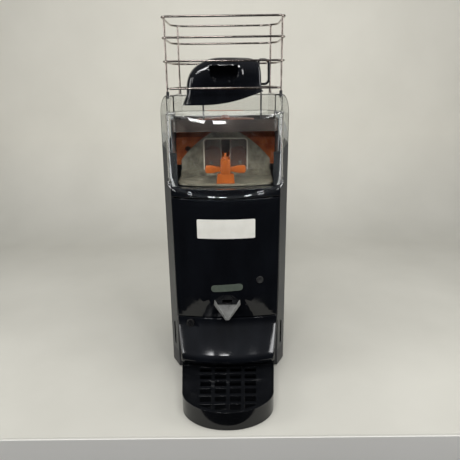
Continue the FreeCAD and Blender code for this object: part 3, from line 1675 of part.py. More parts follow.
def belt_loop(grow, y0, y1):
    """Outside of two circles joined by their tangents."""
    low = pulley_drive_radius + grow
    high = pulley_driven_radius + grow
    reach = drum_ball_z - motor_z
    lean = math.asin((high - low) / reach)
    x = drum_ball_x
    cos = math.cos(lean)
    sin = math.sin(lean)
    low_right = vec(x + low * cos, y0, motor_z - low * sin)
    low_left = vec(x - low * cos, y0, motor_z - low * sin)
    high_right = vec(x + high * cos, y0, drum_ball_z - high * sin)
    high_left = vec(x - high * cos, y0, drum_ball_z - high * sin)
    edges = [
        Part.makeLine(low_right, high_right),
        Part.Arc(high_right, vec(x, y0, drum_ball_z + high), high_left).toShape(),
        Part.makeLine(high_left, low_left),
        Part.Arc(low_left, vec(x, y0, motor_z - low), low_right).toShape(),
    ]
    return Part.Face(Part.Wire(edges)).extrude(vec(0, y1 - y0, 0))


def drive_belt():
    start = pulley_y + seat_gap
    end = pulley_y + pulley_width - seat_gap
    outer = belt_loop(seat_gap + belt_thickness - seam, start, end)
    return outer.cut(belt_loop(seat_gap, start - overrun, end + overrun))


def control_board():
    half = board_width / 2
    tall = board_height / 2
    back = bulkhead_y - board_post
    plate = block(board_x - half, board_x + half, back - board_thickness, back,
                  board_z - tall, board_z + tall)
    pieces = [plate]
    post = board_post
    for x in (board_x - half + post, board_x + half - post):
        for z in (board_z - tall + post, board_z + tall - post):
            pieces.append(level(post / 2, x, z, back, bulkhead_y))
    front = back - board_thickness
    part = board_part_height
    pieces.append(block(board_x - half + part, board_x - part, front - part, front,
                        board_z - part, board_z + 2 * part))
    pieces.append(level(part * board_can_share, board_x + part, board_z - part, front - 2 * part, front))
    pieces.append(block(board_x + part, board_x + half - part, front - part, front,
                        board_z + part / 2, board_z + 2 * part))
    return joined(pieces)


def door_switch():
    x = frame_plate_x - switch_width
    y0 = frame_front_y
    body = block(x, frame_plate_x, y0, y0 + switch_height / 2, switch_z, switch_z + switch_height)
    lever = block(x + sheet, frame_plate_x - sheet, y0 - switch_lever, y0,
                  switch_z + sheet, switch_z + switch_height)
    return body.fuse(lever).removeSplitter()


def tray_wire(z, inset):
    """Plan of the drip tray: slightly splayed sides and a half-ellipse nose."""
    half = tray_half_width - inset
    back_half = tray_back_half_width - inset
    nose_y = front_y + tray_nose
    nose = tray_nose - inset
    ellipse = Part.Ellipse(vec(0, nose_y, z), max(half, nose), min(half, nose))
    arc = Part.Arc(ellipse, math.pi, 2 * math.pi).toShape()
    back = tray_back_y - inset
    edges = [
        arc,
        Part.makeLine(vec(half, nose_y, z), vec(back_half, back, z)),
        Part.makeLine(vec(back_half, back, z), vec(-back_half, back, z)),
        Part.makeLine(vec(-back_half, back, z), vec(-half, nose_y, z)),
    ]
    return Part.Wire(edges)


def tray_solid(inset, z0, z1):
    return Part.Face(tray_wire(z0, inset)).extrude(vec(0, 0, z1 - z0))


def before_deck(inset):
    reach = half_body
    return block(-reach, reach, front_y - overrun, tray_deck_y - inset, 0, panel_top_z)


def drip_tray():
    """Tub with a raised bright rim, a ledge for the grille and a deck behind it."""
    top = tray_height - tray_rim_rise
    tub = tray_solid(0, tray_lift, top)
    tub = tub.cut(tray_solid(tray_wall, tray_lift + tray_wall, top + overrun).common(before_deck(0)))
    deck_room = tray_solid(tray_wall, tray_lift + tray_wall, top - tray_deck)
    tub = tub.cut(deck_room)
    rim = tray_solid(0, top, tray_height).cut(tray_solid(tray_wall, top - overrun, tray_height + overrun))
    ledge_z = tray_height - grille_drop - grille_depth - seat_gap
    ledge = tray_solid(tray_wall, ledge_z - grille_ledge, ledge_z).common(before_deck(0))
    ledge = ledge.cut(tray_solid(tray_wall + grille_ledge, 0, tray_height).common(before_deck(grille_ledge)))
    return tub.fuse([rim, ledge]).removeSplitter()


def grille_cells():
    """Openings of the grille, four across and six deep, in columns that close up towards the nose."""
    back = tray_deck_y - grille_back_margin
    step_x = grille_cell_width + grille_bar
    step_y = grille_cell_length + grille_bar
    cells = []
    for row in range(grille_rows):
        y1 = back - row * step_y
        y0 = y1 - grille_cell_length
        shares = [1 + grille_taper_share * (y - back) / grille_length for y in (y0, y1)]
        for column in range(grille_columns):
            x0 = (column - grille_columns / 2) * step_x + grille_bar / 2
            x1 = x0 + grille_cell_width
            front, rear = [[(x0 * share, y), (x1 * share, y)] for share, y in zip(shares, (y0, y1))]
            cells.append(front + rear[::-1])
    return cells


def tray_grille():
    """Lift-out plate with rows of square openings, cut to the tray's nose."""
    top = tray_height - grille_drop
    inset = tray_wall + fit_gap
    plate = tray_solid(inset, top - grille_depth, top).common(before_deck(fit_gap))
    limit = tray_solid(inset + grille_bar, 0, tray_height)
    for points in grille_cells():
        cut = plan_solid(points, top - grille_depth - overrun, top + overrun).common(limit)
        if cut.Volume > 0:
            plate = plate.cut(cut)
    return plate


def build():
    os.makedirs("parts", exist_ok=True)
    save("base_plinth", plinth())
    save("feet", feet())
    panel = right_side_panel()
    save("right_side_panel", panel)
    save("left_side_panel", mirrored(panel))
    save("rear_panel", rear_panel())
    save("power_inlet", power_inlet())
    plate = frame_plate_right()
    save("right_frame_plate", plate)
    save("left_frame_plate", mirrored(plate))
    save("bulkhead", bulkhead())
    save("bearings", bearings())
    save("bin_shelf", bin_shelf())
    save("peel_bin", peel_bin())
    save("drive_motor", drive_motor())
    save("motor_pulley", motor_pulley())
    save("driven_pulley", driven_pulley())
    save("drive_belt", drive_belt())
    save("control_board", control_board())
    save("door_switch", door_switch())
    phases = gear_phases()
    for name in shaft_places():
        save("gear_shaft_" + name, drum_shaft(name).fuse(gear(name, phases[name])).removeSplitter())
    save("cup_drum_left", cup_drum(-1))
    save("cup_drum_right", cup_drum(1))
    save("ball_drum_left", ball_drum(-1))
    save("ball_drum_right", ball_drum(1))
    save("knife_blade", knife_blade())
    save("knife_holder", knife_holder())
    save("drum_hood", drum_hood())
    save("arch_plate", arch_plate())
    save("window_rim", window_rim())
    smoke = smoke_panel_right()
    save("smoke_panels", grouped([smoke, mirrored(smoke)]))
    save("catch_tray", catch_tray())
    save("knob_block", knob_block())
    save("wing_knob", wing_knob())
    save("juice_filter", juice_filter())
    save("juice_collector", juice_collector())
    chute = peel_chute_right()
    save("peel_chutes", grouped([chute, mirrored(chute)]))
    save("hopper_pan", hopper_pan())
    save("feed_disc", feed_disc())
    save("feed_motor", feed_motor())
    save("hopper_posts", hopper_posts())
    save("front_sill", front_sill())
    save("clear_housing", clear_housing())
    save("clear_cover", clear_cover())
    save("cover_pivots", cover_pivots())
    save("basket", basket())
    save("loose_hood", loose_hood())
    save("lower_panel", lower_panel())
    save("button_bezel", button_bezel())
    save("power_button", power_button())
    save("front_door", front_door())
    save("door_lock", door_lock())
    save("blank_plate", blank_plate())
    save("oval_plate", oval_plate())
    save("juice_spout", juice_spout())
    save("juice_duct", juice_duct())
    save("drip_tray", drip_tray())
    save("tray_grille", tray_grille())


build()
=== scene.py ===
import json
import math

import bmesh
import bpy
from mathutils import Matrix, Vector


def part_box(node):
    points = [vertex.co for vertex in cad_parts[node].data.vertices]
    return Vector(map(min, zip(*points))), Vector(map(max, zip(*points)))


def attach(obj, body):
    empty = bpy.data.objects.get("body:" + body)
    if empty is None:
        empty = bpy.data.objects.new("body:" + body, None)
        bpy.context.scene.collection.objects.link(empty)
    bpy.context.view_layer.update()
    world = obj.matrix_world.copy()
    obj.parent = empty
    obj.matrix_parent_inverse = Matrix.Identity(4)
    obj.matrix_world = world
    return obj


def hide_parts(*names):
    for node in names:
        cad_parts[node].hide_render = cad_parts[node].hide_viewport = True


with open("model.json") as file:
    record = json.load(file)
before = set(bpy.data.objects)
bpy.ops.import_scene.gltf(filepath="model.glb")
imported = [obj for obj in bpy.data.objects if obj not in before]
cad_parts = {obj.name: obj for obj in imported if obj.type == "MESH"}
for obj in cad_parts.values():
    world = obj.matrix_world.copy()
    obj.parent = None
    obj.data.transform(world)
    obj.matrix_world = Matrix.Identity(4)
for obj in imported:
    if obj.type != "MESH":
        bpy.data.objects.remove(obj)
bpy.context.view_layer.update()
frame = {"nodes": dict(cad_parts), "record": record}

# Base plinth: a shallow welded steel tray that carries everything, powder coated satin black.
# The coat has a fine orange peel, and its gloss is uneven.


def linear(code):
    """Turns an sRGB hex colour to the linear values that the shaders use."""
    shares = [int(code[i:i + 2], 16) / 255 for i in (0, 2, 4)]
    return tuple(v / 12.92 if v <= 0.04045 else ((v + 0.055) / 1.055) ** 2.4 for v in shares) + (1.0,)


def add(tree, kind, inputs=None, **settings):
    """Adds one node, gives it its settings, and sets or links its inputs."""
    node = tree.nodes.new(kind)
    for name, value in settings.items():
        setattr(node, name, value)
    for socket, value in (inputs or {}).items():
        if isinstance(value, bpy.types.NodeSocket):
            tree.links.new(value, node.inputs[socket])
        else:
            node.inputs[socket].default_value = value
    return node


def new_finish(name, **constants):
    """Starts a material with one surface shader and gives the places of its points."""
    finish = bpy.data.materials.new(name)
    finish.use_nodes = True
    tree = finish.node_tree
    tree.nodes.clear()
    sockets = {key.replace("_", " "): value for key, value in constants.items()}
    surface = add(tree, "ShaderNodeBsdfPrincipled", sockets)
    add(tree, "ShaderNodeOutputMaterial", {0: surface.outputs[0]})
    return finish, tree, surface, add(tree, "ShaderNodeTexCoord").outputs["Object"]


def link(tree, source, target):
    """Joins an output to an input."""
    tree.links.new(source, target)


def mottle(tree, place, size_mm, stretch=(1, 1, 1), detail=4.0):
    """Noise whose spots are about size_mm across, from points in metres."""
    scaled = add(tree, "ShaderNodeMapping", {"Vector": place, "Scale": stretch})
    noise = add(tree, "ShaderNodeTexNoise", {"Vector": scaled.outputs[0], "Scale": 1000 / size_mm,
                                             "Detail": detail})
    return noise.outputs["Fac"]


def spread(tree, value, low, high, start=0.3, end=0.7):
    """Spreads a noise value from low to high, as a number."""
    return add(tree, "ShaderNodeMapRange", {0: value, 1: start, 2: end, 3: low, 4: high}).outputs[0]


def shade(tree, value, first, second, start=0.3, end=0.7):
    """Goes from the first colour to the second along a noise value."""
    part = spread(tree, value, 0.0, 1.0, start, end)
    mix = add(tree, "ShaderNodeMix", {0: part, 6: linear(first), 7: linear(second)}, data_type="RGBA")
    return mix.outputs[2]


def grained(name, first, second, spot_mm, rough, grain_mm, depth_mm, **constants):
    """A moulded or coated surface: two near colours in soft spots, uneven gloss and a fine grain."""
    finish, tree, surface, place = new_finish(name, **constants)
    spots = mottle(tree, place, spot_mm)
    grain = mottle(tree, place, grain_mm, detail=2.0)
    link(tree, shade(tree, spots, first, second), surface.inputs["Base Color"])
    link(tree, spread(tree, spots, *rough), surface.inputs["Roughness"])
    bump = add(tree, "ShaderNodeBump", {"Height": grain, "Distance": depth_mm / 1000, "Strength": 1.0})
    link(tree, bump.outputs[0], surface.inputs["Normal"])
    return finish


def dress(finish, *nodes):
    """Gives CAD nodes their finish."""
    for name in nodes:
        mesh = frame["nodes"][name].data
        mesh.materials.clear()
        mesh.materials.append(finish)


powder_black = grained("powder_coated_steel_black", "17171A", "222226", 60, (0.38, 0.52), 2.2, 0.05)
dress(powder_black, "base_plinth")

# Feet: four turned rubber pads, screwed up into the plinth floor.
# Rubber is dull and grey where it has rubbed on the table.
foot_rubber = grained("rubber_black", "151516", "2A2A2B", 12, (0.7, 0.88), 1.5, 0.08)
dress(foot_rubber, "feet")

# Side and rear panels: folded sheet steel in silver-grey metallic lacquer, with its base colour painted dark
# grey all over: a painted reflection of a dim room.
# The flakes are too fine to show, so they are drawn a little coarser, under a thin clear coat.


def metallic_lacquer(name, first, second, flake_mm=1.2, cloud_mm=90, peel_mm=3.5, peel_depth_mm=0.06):
    """Sprayed lacquer: bright flakes in a cloudy tone, with a fine orange peel."""
    finish, tree, surface, place = new_finish(name, Metallic=0.6, IOR=1.35, Coat_Weight=0.12,
                                              Coat_Roughness=0.12)
    flakes = add(tree, "ShaderNodeTexVoronoi", {"Vector": place, "Scale": 1000 / flake_mm})
    clouds = mottle(tree, place, cloud_mm)
    flake_share = 0.18
    toned = add(tree, "ShaderNodeMath", {0: flakes.outputs["Distance"], 1: flake_share, 2: clouds},
                operation="MULTIPLY_ADD")
    link(tree, shade(tree, toned.outputs[0], first, second, 0.3, 0.85), surface.inputs["Base Color"])
    link(tree, spread(tree, clouds, 0.3, 0.42), surface.inputs["Roughness"])
    peel = mottle(tree, place, peel_mm, detail=1.0)
    bump = add(tree, "ShaderNodeBump", {"Height": peel, "Distance": peel_depth_mm / 1000, "Strength": 1.0})
    link(tree, bump.outputs[0], surface.inputs["Normal"])
    return finish


# The dark base colour is a painted reflection of the dim room, not the lacquer's own silver-grey tone.
silver_painted_reflection = metallic_lacquer("silver_lacquer_painted_dark_reflection", "303234", "3C3E40")
dress(silver_painted_reflection, "left_side_panel", "right_side_panel", "rear_panel")

# Inner frame: two steel frame plates and the rear bulkhead, bent from sheet and left zinc plated.
# Zinc plate is a soft blue-grey with cloudy patches.


def plated(name, first, second, metallic, rough, cloud_mm, stretch=(1, 1, 1), streak_mm=1.4,
           streak_depth_mm=0.02):
    """Bare or plated sheet metal: cloudy tone, rolled streaks and a soft shine."""
    finish, tree, surface, place = new_finish(name, Metallic=metallic)
    clouds = mottle(tree, place, cloud_mm, detail=6.0)
    streaks = mottle(tree, place, streak_mm, stretch, 2.0)
    streak_share = 0.4
    mixed = add(tree, "ShaderNodeMath", {0: streaks, 1: streak_share, 2: clouds}, operation="MULTIPLY_ADD")
    link(tree, shade(tree, mixed.outputs[0], first, second, 0.5, 0.9), surface.inputs["Base Color"])
    link(tree, spread(tree, mixed.outputs[0], *rough, 0.5, 0.9), surface.inputs["Roughness"])
    bump = add(tree, "ShaderNodeBump", {"Height": streaks, "Distance": streak_depth_mm / 1000, "Strength": 1.0})
    link(tree, bump.outputs[0], surface.inputs["Normal"])
    return finish


zinc_plate = plated("zinc_plated_steel", "7E8286", "A4A8AB", 0.8, (0.4, 0.55), 25)
dress(zinc_plate, "left_frame_plate", "right_frame_plate", "bulkhead", "bin_shelf")

# Panel screws: low round-headed stainless machine screws with a round socket, in the side and rear panels.
# Each is turned into a rivet nut, and its head sits flush in a round hole in the panel.


def screw_tree():
    """A node tree that sets one screw head, open at its back, on each point, facing the way given."""
    tree = bpy.data.node_groups.new("screw_heads", "GeometryNodeTree")
    face = tree.interface
    face.new_socket("Geometry", in_out="INPUT", socket_type="NodeSocketGeometry")
    for name in ("Head radius", "Head height", "Socket radius"):
        face.new_socket(name, in_out="INPUT", socket_type="NodeSocketFloat")
    face.new_socket("Facing", in_out="INPUT", socket_type="NodeSocketVector")
    face.new_socket("Finish", in_out="INPUT", socket_type="NodeSocketMaterial")
    face.new_socket("Geometry", in_out="OUTPUT", socket_type="NodeSocketGeometry")
    given = tree.nodes.new("NodeGroupInput").outputs
    crown_share, sink_share = 0.72, 0.6
    disc = add(tree, "GeometryNodeMeshCircle", {"Vertices": 18, "Radius": given["Head radius"]},
               fill_type="NGON")
    half = add(tree, "ShaderNodeMath", {0: given["Head height"], 1: 0.5}, operation="MULTIPLY").outputs[0]
    wall = add(tree, "GeometryNodeExtrudeMesh", {"Mesh": disc.outputs[0], "Offset Scale": half}, mode="FACES")
    crown = add(tree, "GeometryNodeExtrudeMesh", {"Mesh": wall.outputs[0], "Selection": wall.outputs["Top"],
                                                 "Offset Scale": half}, mode="FACES")
    round_top = add(tree, "GeometryNodeScaleElements", {"Geometry": crown.outputs[0], "Scale": crown_share,
                                                        "Selection": crown.outputs["Top"]})
    sink = add(tree, "ShaderNodeMath", {0: given["Head height"], 1: -sink_share}, operation="MULTIPLY")
    land = add(tree, "GeometryNodeExtrudeMesh", {"Mesh": round_top.outputs[0], "Offset Scale": 0.0,
                                                "Selection": crown.outputs["Top"]}, mode="FACES")
    share = add(tree, "ShaderNodeMath", {0: given["Socket radius"], 1: given["Head radius"]},
                operation="DIVIDE")
    drawn_in = add(tree, "GeometryNodeScaleElements", {"Geometry": land.outputs[0],
                                                       "Selection": land.outputs["Top"],
                                                       "Scale": share.outputs[0]})
    socket = add(tree, "GeometryNodeExtrudeMesh", {"Mesh": drawn_in.outputs[0], "Offset Scale": sink.outputs[0],
                                                  "Selection": land.outputs["Top"]}, mode="FACES")
    turn = add(tree, "FunctionNodeAlignRotationToVector", {"Vector": given["Facing"]}, axis="Z")
    heads = add(tree, "GeometryNodeInstanceOnPoints", {"Points": given["Geometry"], "Rotation": turn.outputs[0],
                                                       "Instance": socket.outputs[0]})
    real = add(tree, "GeometryNodeRealizeInstances", {0: heads.outputs[0]})
    coloured = add(tree, "GeometryNodeSetMaterial", {"Geometry": real.outputs[0],
                                                     "Material": given["Finish"]})
    add(tree, "NodeGroupOutput", {0: coloured.outputs[0]})
    return tree


def grown(name, tree, points, values, body):
    """Runs a node tree over a few points, keeps the plain mesh that comes out, and rides it on its body."""
    seed = bpy.data.meshes.new(name + "_points")
    seed.from_pydata(points, [], [])
    holder = bpy.data.objects.new(name, seed)
    bpy.context.scene.collection.objects.link(holder)
    step = holder.modifiers.new("grow", "NODES")
    step.node_group = tree
    sockets = {item.name: item.identifier for item in tree.interface.items_tree if item.in_out == "INPUT"}
    for key, value in values.items():
        step[sockets[key]] = value
    graph = bpy.context.evaluated_depsgraph_get()
    result = bpy.data.meshes.new_from_object(holder.evaluated_get(graph))
    holder.modifiers.clear()
    holder.data = result
    result.name = name
    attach(holder, body)
    return holder


screw_heads = screw_tree()
screw_steel = plated("stainless_screw_heads", "8A8986", "ADACA8", 1.0, (0.3, 0.42), 3)
head_radius, head_height, socket_radius = 0.0042, 0.0024, 0.0019
side_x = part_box("right_side_panel")[1].x
rear_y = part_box("rear_panel")[1].y
side_screws = [(y, z) for y in (0.085, 0.226) for z in (0.075, 0.34, 0.6)]
rear_screws = [(x, z) for x in (-0.142, 0.142) for z in (0.075, 0.24, 0.42, 0.6)]
side_spots = [[(side * (side_x - head_height), y, z) for y, z in side_screws] for side in (-1, 1)]
rear_spots = [(x, rear_y - head_height, z) for x, z in rear_screws]
for name, spots, facing in (("left_panel_screws", side_spots[0], (-1, 0, 0)),
                            ("right_panel_screws", side_spots[1], (1, 0, 0)),
                            ("rear_panel_screws", rear_spots, (0, 1, 0))):
    grown(name, screw_heads, spots, {"Head radius": head_radius, "Head height": head_height,
                                     "Socket radius": socket_radius, "Facing": facing,
                                     "Finish": screw_steel}, "root")

# Door front, lower panel, sill, tray and loose hood: black acrylonitrile styrene, moulded to a high gloss.
# It mirrors the room, so only fine wiping marks and the mould's slight waves tell it from glass.


def black_gloss_moulding(name, first, second, rough, wiping_mm=45, wave_mm=70, wave_depth_mm=0.6):
    """Glossy black plastic with upright wiping marks and long shallow waves."""
    finish, tree, surface, place = new_finish(name, IOR=1.46, Coat_Weight=0.08, Coat_Roughness=0.04)
    wiping = mottle(tree, place, wiping_mm, (1, 1, 0.35), 6.0)
    waves = mottle(tree, place, wave_mm, (1, 1, 0.6), 1.0)
    link(tree, shade(tree, wiping, first, second), surface.inputs["Base Color"])
    link(tree, spread(tree, wiping, *rough), surface.inputs["Roughness"])
    bump = add(tree, "ShaderNodeBump", {"Height": waves, "Distance": wave_depth_mm / 1000, "Strength": 0.5})
    link(tree, bump.outputs[0], surface.inputs["Normal"])
    return finish


gloss_black = black_gloss_moulding("glossy_black_styrene", "090A0D", "0F1115", (0.04, 0.1))
dress(gloss_black, "front_door", "lower_panel", "front_sill", "loose_hood")
tray_black = black_gloss_moulding("glossy_black_tray_styrene", "0A0B0D", "101113", (0.08, 0.16))
dress(tray_black, "drip_tray", "tray_grille")

# Inside parts of black plastic: bin, chutes, posts, motor covers, duct and belt, moulded with a fine texture.
# They are dull, so the black reads as dark grey. The hopper pan is smoked brown.
textured_black = grained("textured_black_polypropylene", "1B1A1A", "272524", 40, (0.45, 0.6), 1.6, 0.06)
dress(textured_black, "peel_bin", "hopper_posts", "peel_chutes", "door_switch", "drive_motor", "feed_motor",
      "power_inlet", "button_bezel", "drive_belt", "juice_duct")
pan_brown = grained("smoked_brown_pan", "241E1B", "372E28", 45, (0.3, 0.45), 2.5, 0.06)
dress(pan_brown, "hopper_pan")

# Stainless pieces: filter, collector, shafts, pivots and the knife, ground with a fine belt, all one way.
# The window rim is polished, and its pale, mostly non-metallic colour is a painted highlight. The spout is a
# satin casting, and the lock's cylinder is darker.
ground_steel = plated("ground_stainless_steel", "8F8E8B", "B9B8B4", 1.0, (0.22, 0.36), 30, (1, 1, 12))
dress(ground_steel, "juice_filter", "juice_collector", "knife_blade", "bearings", "gear_shaft_cup_left",
      "gear_shaft_cup_right", "gear_shaft_ball_left", "gear_shaft_ball_right", "motor_pulley", "driven_pulley",
      "cover_pivots", "knife_holder")
# The rim's bright line is a painted highlight: a pale base colour with little metal in it.
rim_steel_painted_highlight = plated("stainless_rim_painted_highlight", "D2CBBB", "EEE7D8", 0.3, (0.16, 0.26), 30, (1, 1, 12))
dress(rim_steel_painted_highlight, "window_rim")
satin_steel = plated("satin_stainless_casting", "7A7A77", "A3A3A0", 0.5, (0.25, 0.36), 30)
dress(satin_steel, "juice_spout")
lock_steel = plated("lock_cylinder_steel", "4A4A4A", "7C7C7A", 0.8, (0.3, 0.4), 6)
dress(lock_steel, "door_lock")

# Squeezing drums and feed disc: acetal cups and balls, orange-brown and polished by fruit.
# Juice has stained them in soft patches.
drum_orange = grained("acetal_drum_orange", "7E3A1C", "9C4A22", 18, (0.28, 0.42), 3.0, 0.04,
                      Subsurface_Weight=0.08, Subsurface_Scale=0.004)
dress(drum_orange, "cup_drum_left", "cup_drum_right", "ball_drum_left", "ball_drum_right")
disc_orange = grained("feed_disc_orange", "8A4A33", "A0573B", 35, (0.28, 0.4), 4.0, 0.05)
dress(disc_orange, "feed_disc")

# Arch plate and catch tray: stainless sheet dulled by dried juice, a little darker on the tray.
# The stains are cloudy, so the metal looks grey-beige and half matt.
stained_steel = plated("stained_stainless_sheet", "605C50", "908A7C", 0.35, (0.34, 0.55), 16)
dress(stained_steel, "arch_plate")
soiled_steel = plated("soiled_stainless_sheet", "5B574B", "8D8879", 0.35, (0.34, 0.55), 16)
dress(soiled_steel, "catch_tray")

# Cover and basket housing: moulded clear polycarbonate, glossy, with scuffs.
# Window panels: flat smoked acrylic, hazy with dried juice.
# Light passes both straight, as it does through thin sheet, so the chamber isn't dark.


def clear_moulding(name, tint, rough, clearness=1.0, scuff_mm=20):
    """Clear plastic with upright scuffs. What it lacks in clearness is a milky haze."""
    finish, tree, surface, place = new_finish(name, Transmission_Weight=clearness, IOR=1.45)
    scuffs = mottle(tree, place, scuff_mm, (1, 1, 0.4), 8.0)
    surface.inputs["Base Color"].default_value = linear(tint)
    link(tree, spread(tree, scuffs, *rough, 0.4, 0.75), surface.inputs["Roughness"])
    rays = add(tree, "ShaderNodeLightPath")
    through = add(tree, "ShaderNodeBsdfTransparent", {0: linear(tint)})
    mixed = add(tree, "ShaderNodeMixShader", {0: rays.outputs["Is Shadow Ray"], 1: surface.outputs[0],
                                              2: through.outputs[0]})
    link(tree, mixed.outputs[0], tree.nodes["Material Output"].inputs[0])
    return finish


clear_polycarbonate = clear_moulding("clear_polycarbonate", "F6F7F6", (0.01, 0.1))
dress(clear_polycarbonate, "clear_cover", "clear_housing")
smoked_acrylic = clear_moulding("smoked_acrylic", "B8B0AA", (0.02, 0.12), 0.87)
dress(smoked_acrylic, "smoke_panels")

# Orange plastic: drum hood and knob, both moulded.
# The hood has a hammered, glossy face, and the knob is satin.
hood_orange = grained("drum_hood_orange", "843E1E", "AC5E32", 22, (0.14, 0.3), 9.0, 1.6, Coat_Weight=0.3)
dress(hood_orange, "drum_hood")
knob_orange = grained("knob_orange_polyamide", "8E4404", "9A4A06", 20, (0.4, 0.52), 1.4, 0.05)
dress(knob_orange, "wing_knob", "knob_block")

# Plates on the door: a white plate and a small grey oval one, painted aluminium.
# Both are plain, and glued flat on the door's skin.
white_enamel = grained("white_enamelled_plate", "E6E4DA", "F0EEE5", 30, (0.3, 0.4), 2.0, 0.02)
dress(white_enamel, "blank_plate")
grey_enamel = grained("grey_enamelled_plate", "4E564D", "5A6258", 15, (0.3, 0.42), 2.0, 0.02)
dress(grey_enamel, "oval_plate")

# Control board: green glass laminate with parts soldered on, held on four posts on the bulkhead.
# It is seen only with the rear panel off.
board_green = grained("circuit_board_green", "1E4A35", "2A5C42", 8, (0.4, 0.6), 2.0, 0.1)
dress(board_green, "control_board")

# Power button: a round black push button in a black bezel.
# Its face is satin from fingers.
button_black = grained("button_black_abs", "0D0D0F", "161619", 10, (0.18, 0.3), 1.2, 0.03)
dress(button_black, "power_button")

# Fruit basket: bent and welded round bar, bright chrome plated.
# Its base colour is a dim brownish grey in light and dark patches, a painted reflection of the room along the
# bends.
# The dim brownish grey and its light and dark patches are painted reflection, not the chrome's own colour.
chrome_painted_reflection = plated("chrome_wire_painted_reflection", "837A73", "ADA49D", 1.0, (0.12, 0.24), 12)
dress(chrome_painted_reflection, "basket")

# Edges: sheet metal is folded and the mouldings leave the tool with small radii, so no outside edge is sharp.
# Each of these forms gets its real edge radius, which is what catches the thin bright lines.


def rounded(name, width_mm, weight=90):
    """Shows a copy of a CAD node's form with its sharp edges rounded, in the node's place."""
    sharp_turn, flat_turn = math.radians(28.0), math.radians(0.8)
    weld = 2e-6
    node = frame["nodes"][name]
    form = bmesh.new()
    form.from_mesh(node.data)
    form.transform(node.matrix_world)
    bmesh.ops.remove_doubles(form, verts=form.verts, dist=weld)
    bmesh.ops.dissolve_limit(form, angle_limit=flat_turn, verts=form.verts, edges=form.edges)
    start = bpy.data.meshes.new(name + "_start")
    form.to_mesh(start)
    form.free()
    start.materials.append(node.data.materials[0])
    start.shade_smooth()
    start.set_sharp_from_angle(angle=sharp_turn)
    piece = bpy.data.objects.new(name + "_form", start)
    bpy.context.scene.collection.objects.link(piece)
    edges = piece.modifiers.new("edges", "BEVEL")
    edges.width = width_mm / 1000
    edges.segments = 3
    edges.limit_method = "ANGLE"
    edges.angle_limit = sharp_turn
    edges.use_clamp_overlap = False
    facing = piece.modifiers.new("facing", "WEIGHTED_NORMAL")
    facing.mode = "FACE_AREA"
    facing.weight = weight
    facing.keep_sharp = True
    graph = bpy.context.evaluated_depsgraph_get()
    result = bpy.data.meshes.new_from_object(piece.evaluated_get(graph))
    piece.modifiers.clear()
    piece.data = result
    result.name = name + "_form"
    record = frame["record"]
    carrier = [body for body, nodes in record["behaviour"]["bodies"].items() if name in nodes][0]
    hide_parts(name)
    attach(piece, carrier)
    return piece


def drilled(piece, spots, way, radius_mm, length_mm):
    """Drills round holes through a piece, centred on the spots given in metres."""
    drills = bmesh.new()
    turn = Vector(way).to_track_quat("Z", "Y").to_matrix().to_4x4()
    for spot in spots:
        bmesh.ops.create_cone(drills, cap_ends=True, segments=28, radius1=radius_mm / 1000,
                              radius2=radius_mm / 1000, depth=length_mm / 1000,
                              matrix=Matrix.Translation(spot) @ turn)
    mesh = bpy.data.meshes.new("drills")
    drills.to_mesh(mesh)
    drills.free()
    tool = bpy.data.objects.new("drills", mesh)
    bpy.context.scene.collection.objects.link(tool)
    cut = piece.modifiers.new("holes", "BOOLEAN")
    cut.operation = "DIFFERENCE"
    cut.solver = "EXACT"
    cut.object = tool
    graph = bpy.context.evaluated_depsgraph_get()
    result = bpy.data.meshes.new_from_object(piece.evaluated_get(graph))
    piece.modifiers.clear()
    name = piece.data.name
    piece.data = result
    result.name = name + "_drilled"
    bpy.data.objects.remove(tool)
    bpy.data.meshes.remove(mesh)
    return piece


screw_hole_radius, screw_hole_length = 4.6, 12
rounded("front_door", 0.8)
rounded("lower_panel", 0.9, weight=50)
rounded("front_sill", 1.4)
rounded("drip_tray", 0.5)
rounded("tray_grille", 0.6)
for side, name in ((-1, "left_side_panel"), (1, "right_side_panel")):
    spots = [(side * side_x, y, z) for y, z in side_screws]
    drilled(rounded(name, 0.5), spots, (1, 0, 0), screw_hole_radius, screw_hole_length)
spots = [(x, rear_y, z) for x, z in rear_screws]
drilled(rounded("rear_panel", 0.5), spots, (0, 1, 0), screw_hole_radius, screw_hole_length)
rounded("base_plinth", 0.6)
rounded("clear_housing", 0.6)

# Wing knob: its two wings are thin where they leave the body and swell to round lobes, as the mould makes them.
# The form keeps the wings' length and greatest height, and two thin round ribs run up the front of its stem.
stem_x, tip_x, wing_z, knob_axis_y = 0.0132, 0.053, 0.5845, 0.036
ring_places = (0.0134, 0.0165, 0.020, 0.024, 0.029, 0.034, 0.039, 0.043, 0.0462)
waist_share, full_at_share, depth_share = 0.56, 0.62, 0.3
knob = rounded("wing_knob", 0.7)
lobes = bmesh.new()
lobes.from_mesh(knob.data)
for x in ring_places:
    for side in (-1, 1):
        bmesh.ops.bisect_plane(lobes, geom=lobes.verts[:] + lobes.edges[:] + lobes.faces[:], dist=1e-7,
                               plane_co=(side * x, 0, 0), plane_no=(1, 0, 0))
for corner in lobes.verts:
    along = (abs(corner.co.x) - stem_x) / (tip_x - stem_x)
    if along > 0:
        wave = math.sin(math.pi / 2 * min(1, along / full_at_share))
        swell = waist_share + (1 - waist_share) * wave ** 2
        corner.co.z = wing_z + (corner.co.z - wing_z) * swell
        corner.co.y = knob_axis_y + (corner.co.y - knob_axis_y) * (1 - depth_share + depth_share * swell)
lobes.to_mesh(knob.data)
lobes.free()
knob.data.shade_smooth()
knob.data.set_sharp_from_angle(angle=math.radians(40))
# This cut leaves ribs in place of grooves, and turns the faces of the stem and the left wing inward.
rib_x, rib_y, rib_z, rib_radius, rib_length = 0.0052, 0.025, 0.599, 1.7, 40
ribs = [(side * rib_x, rib_y, rib_z) for side in (-1, 1)]
drilled(knob, ribs, (0, 0, 1), rib_radius, rib_length)

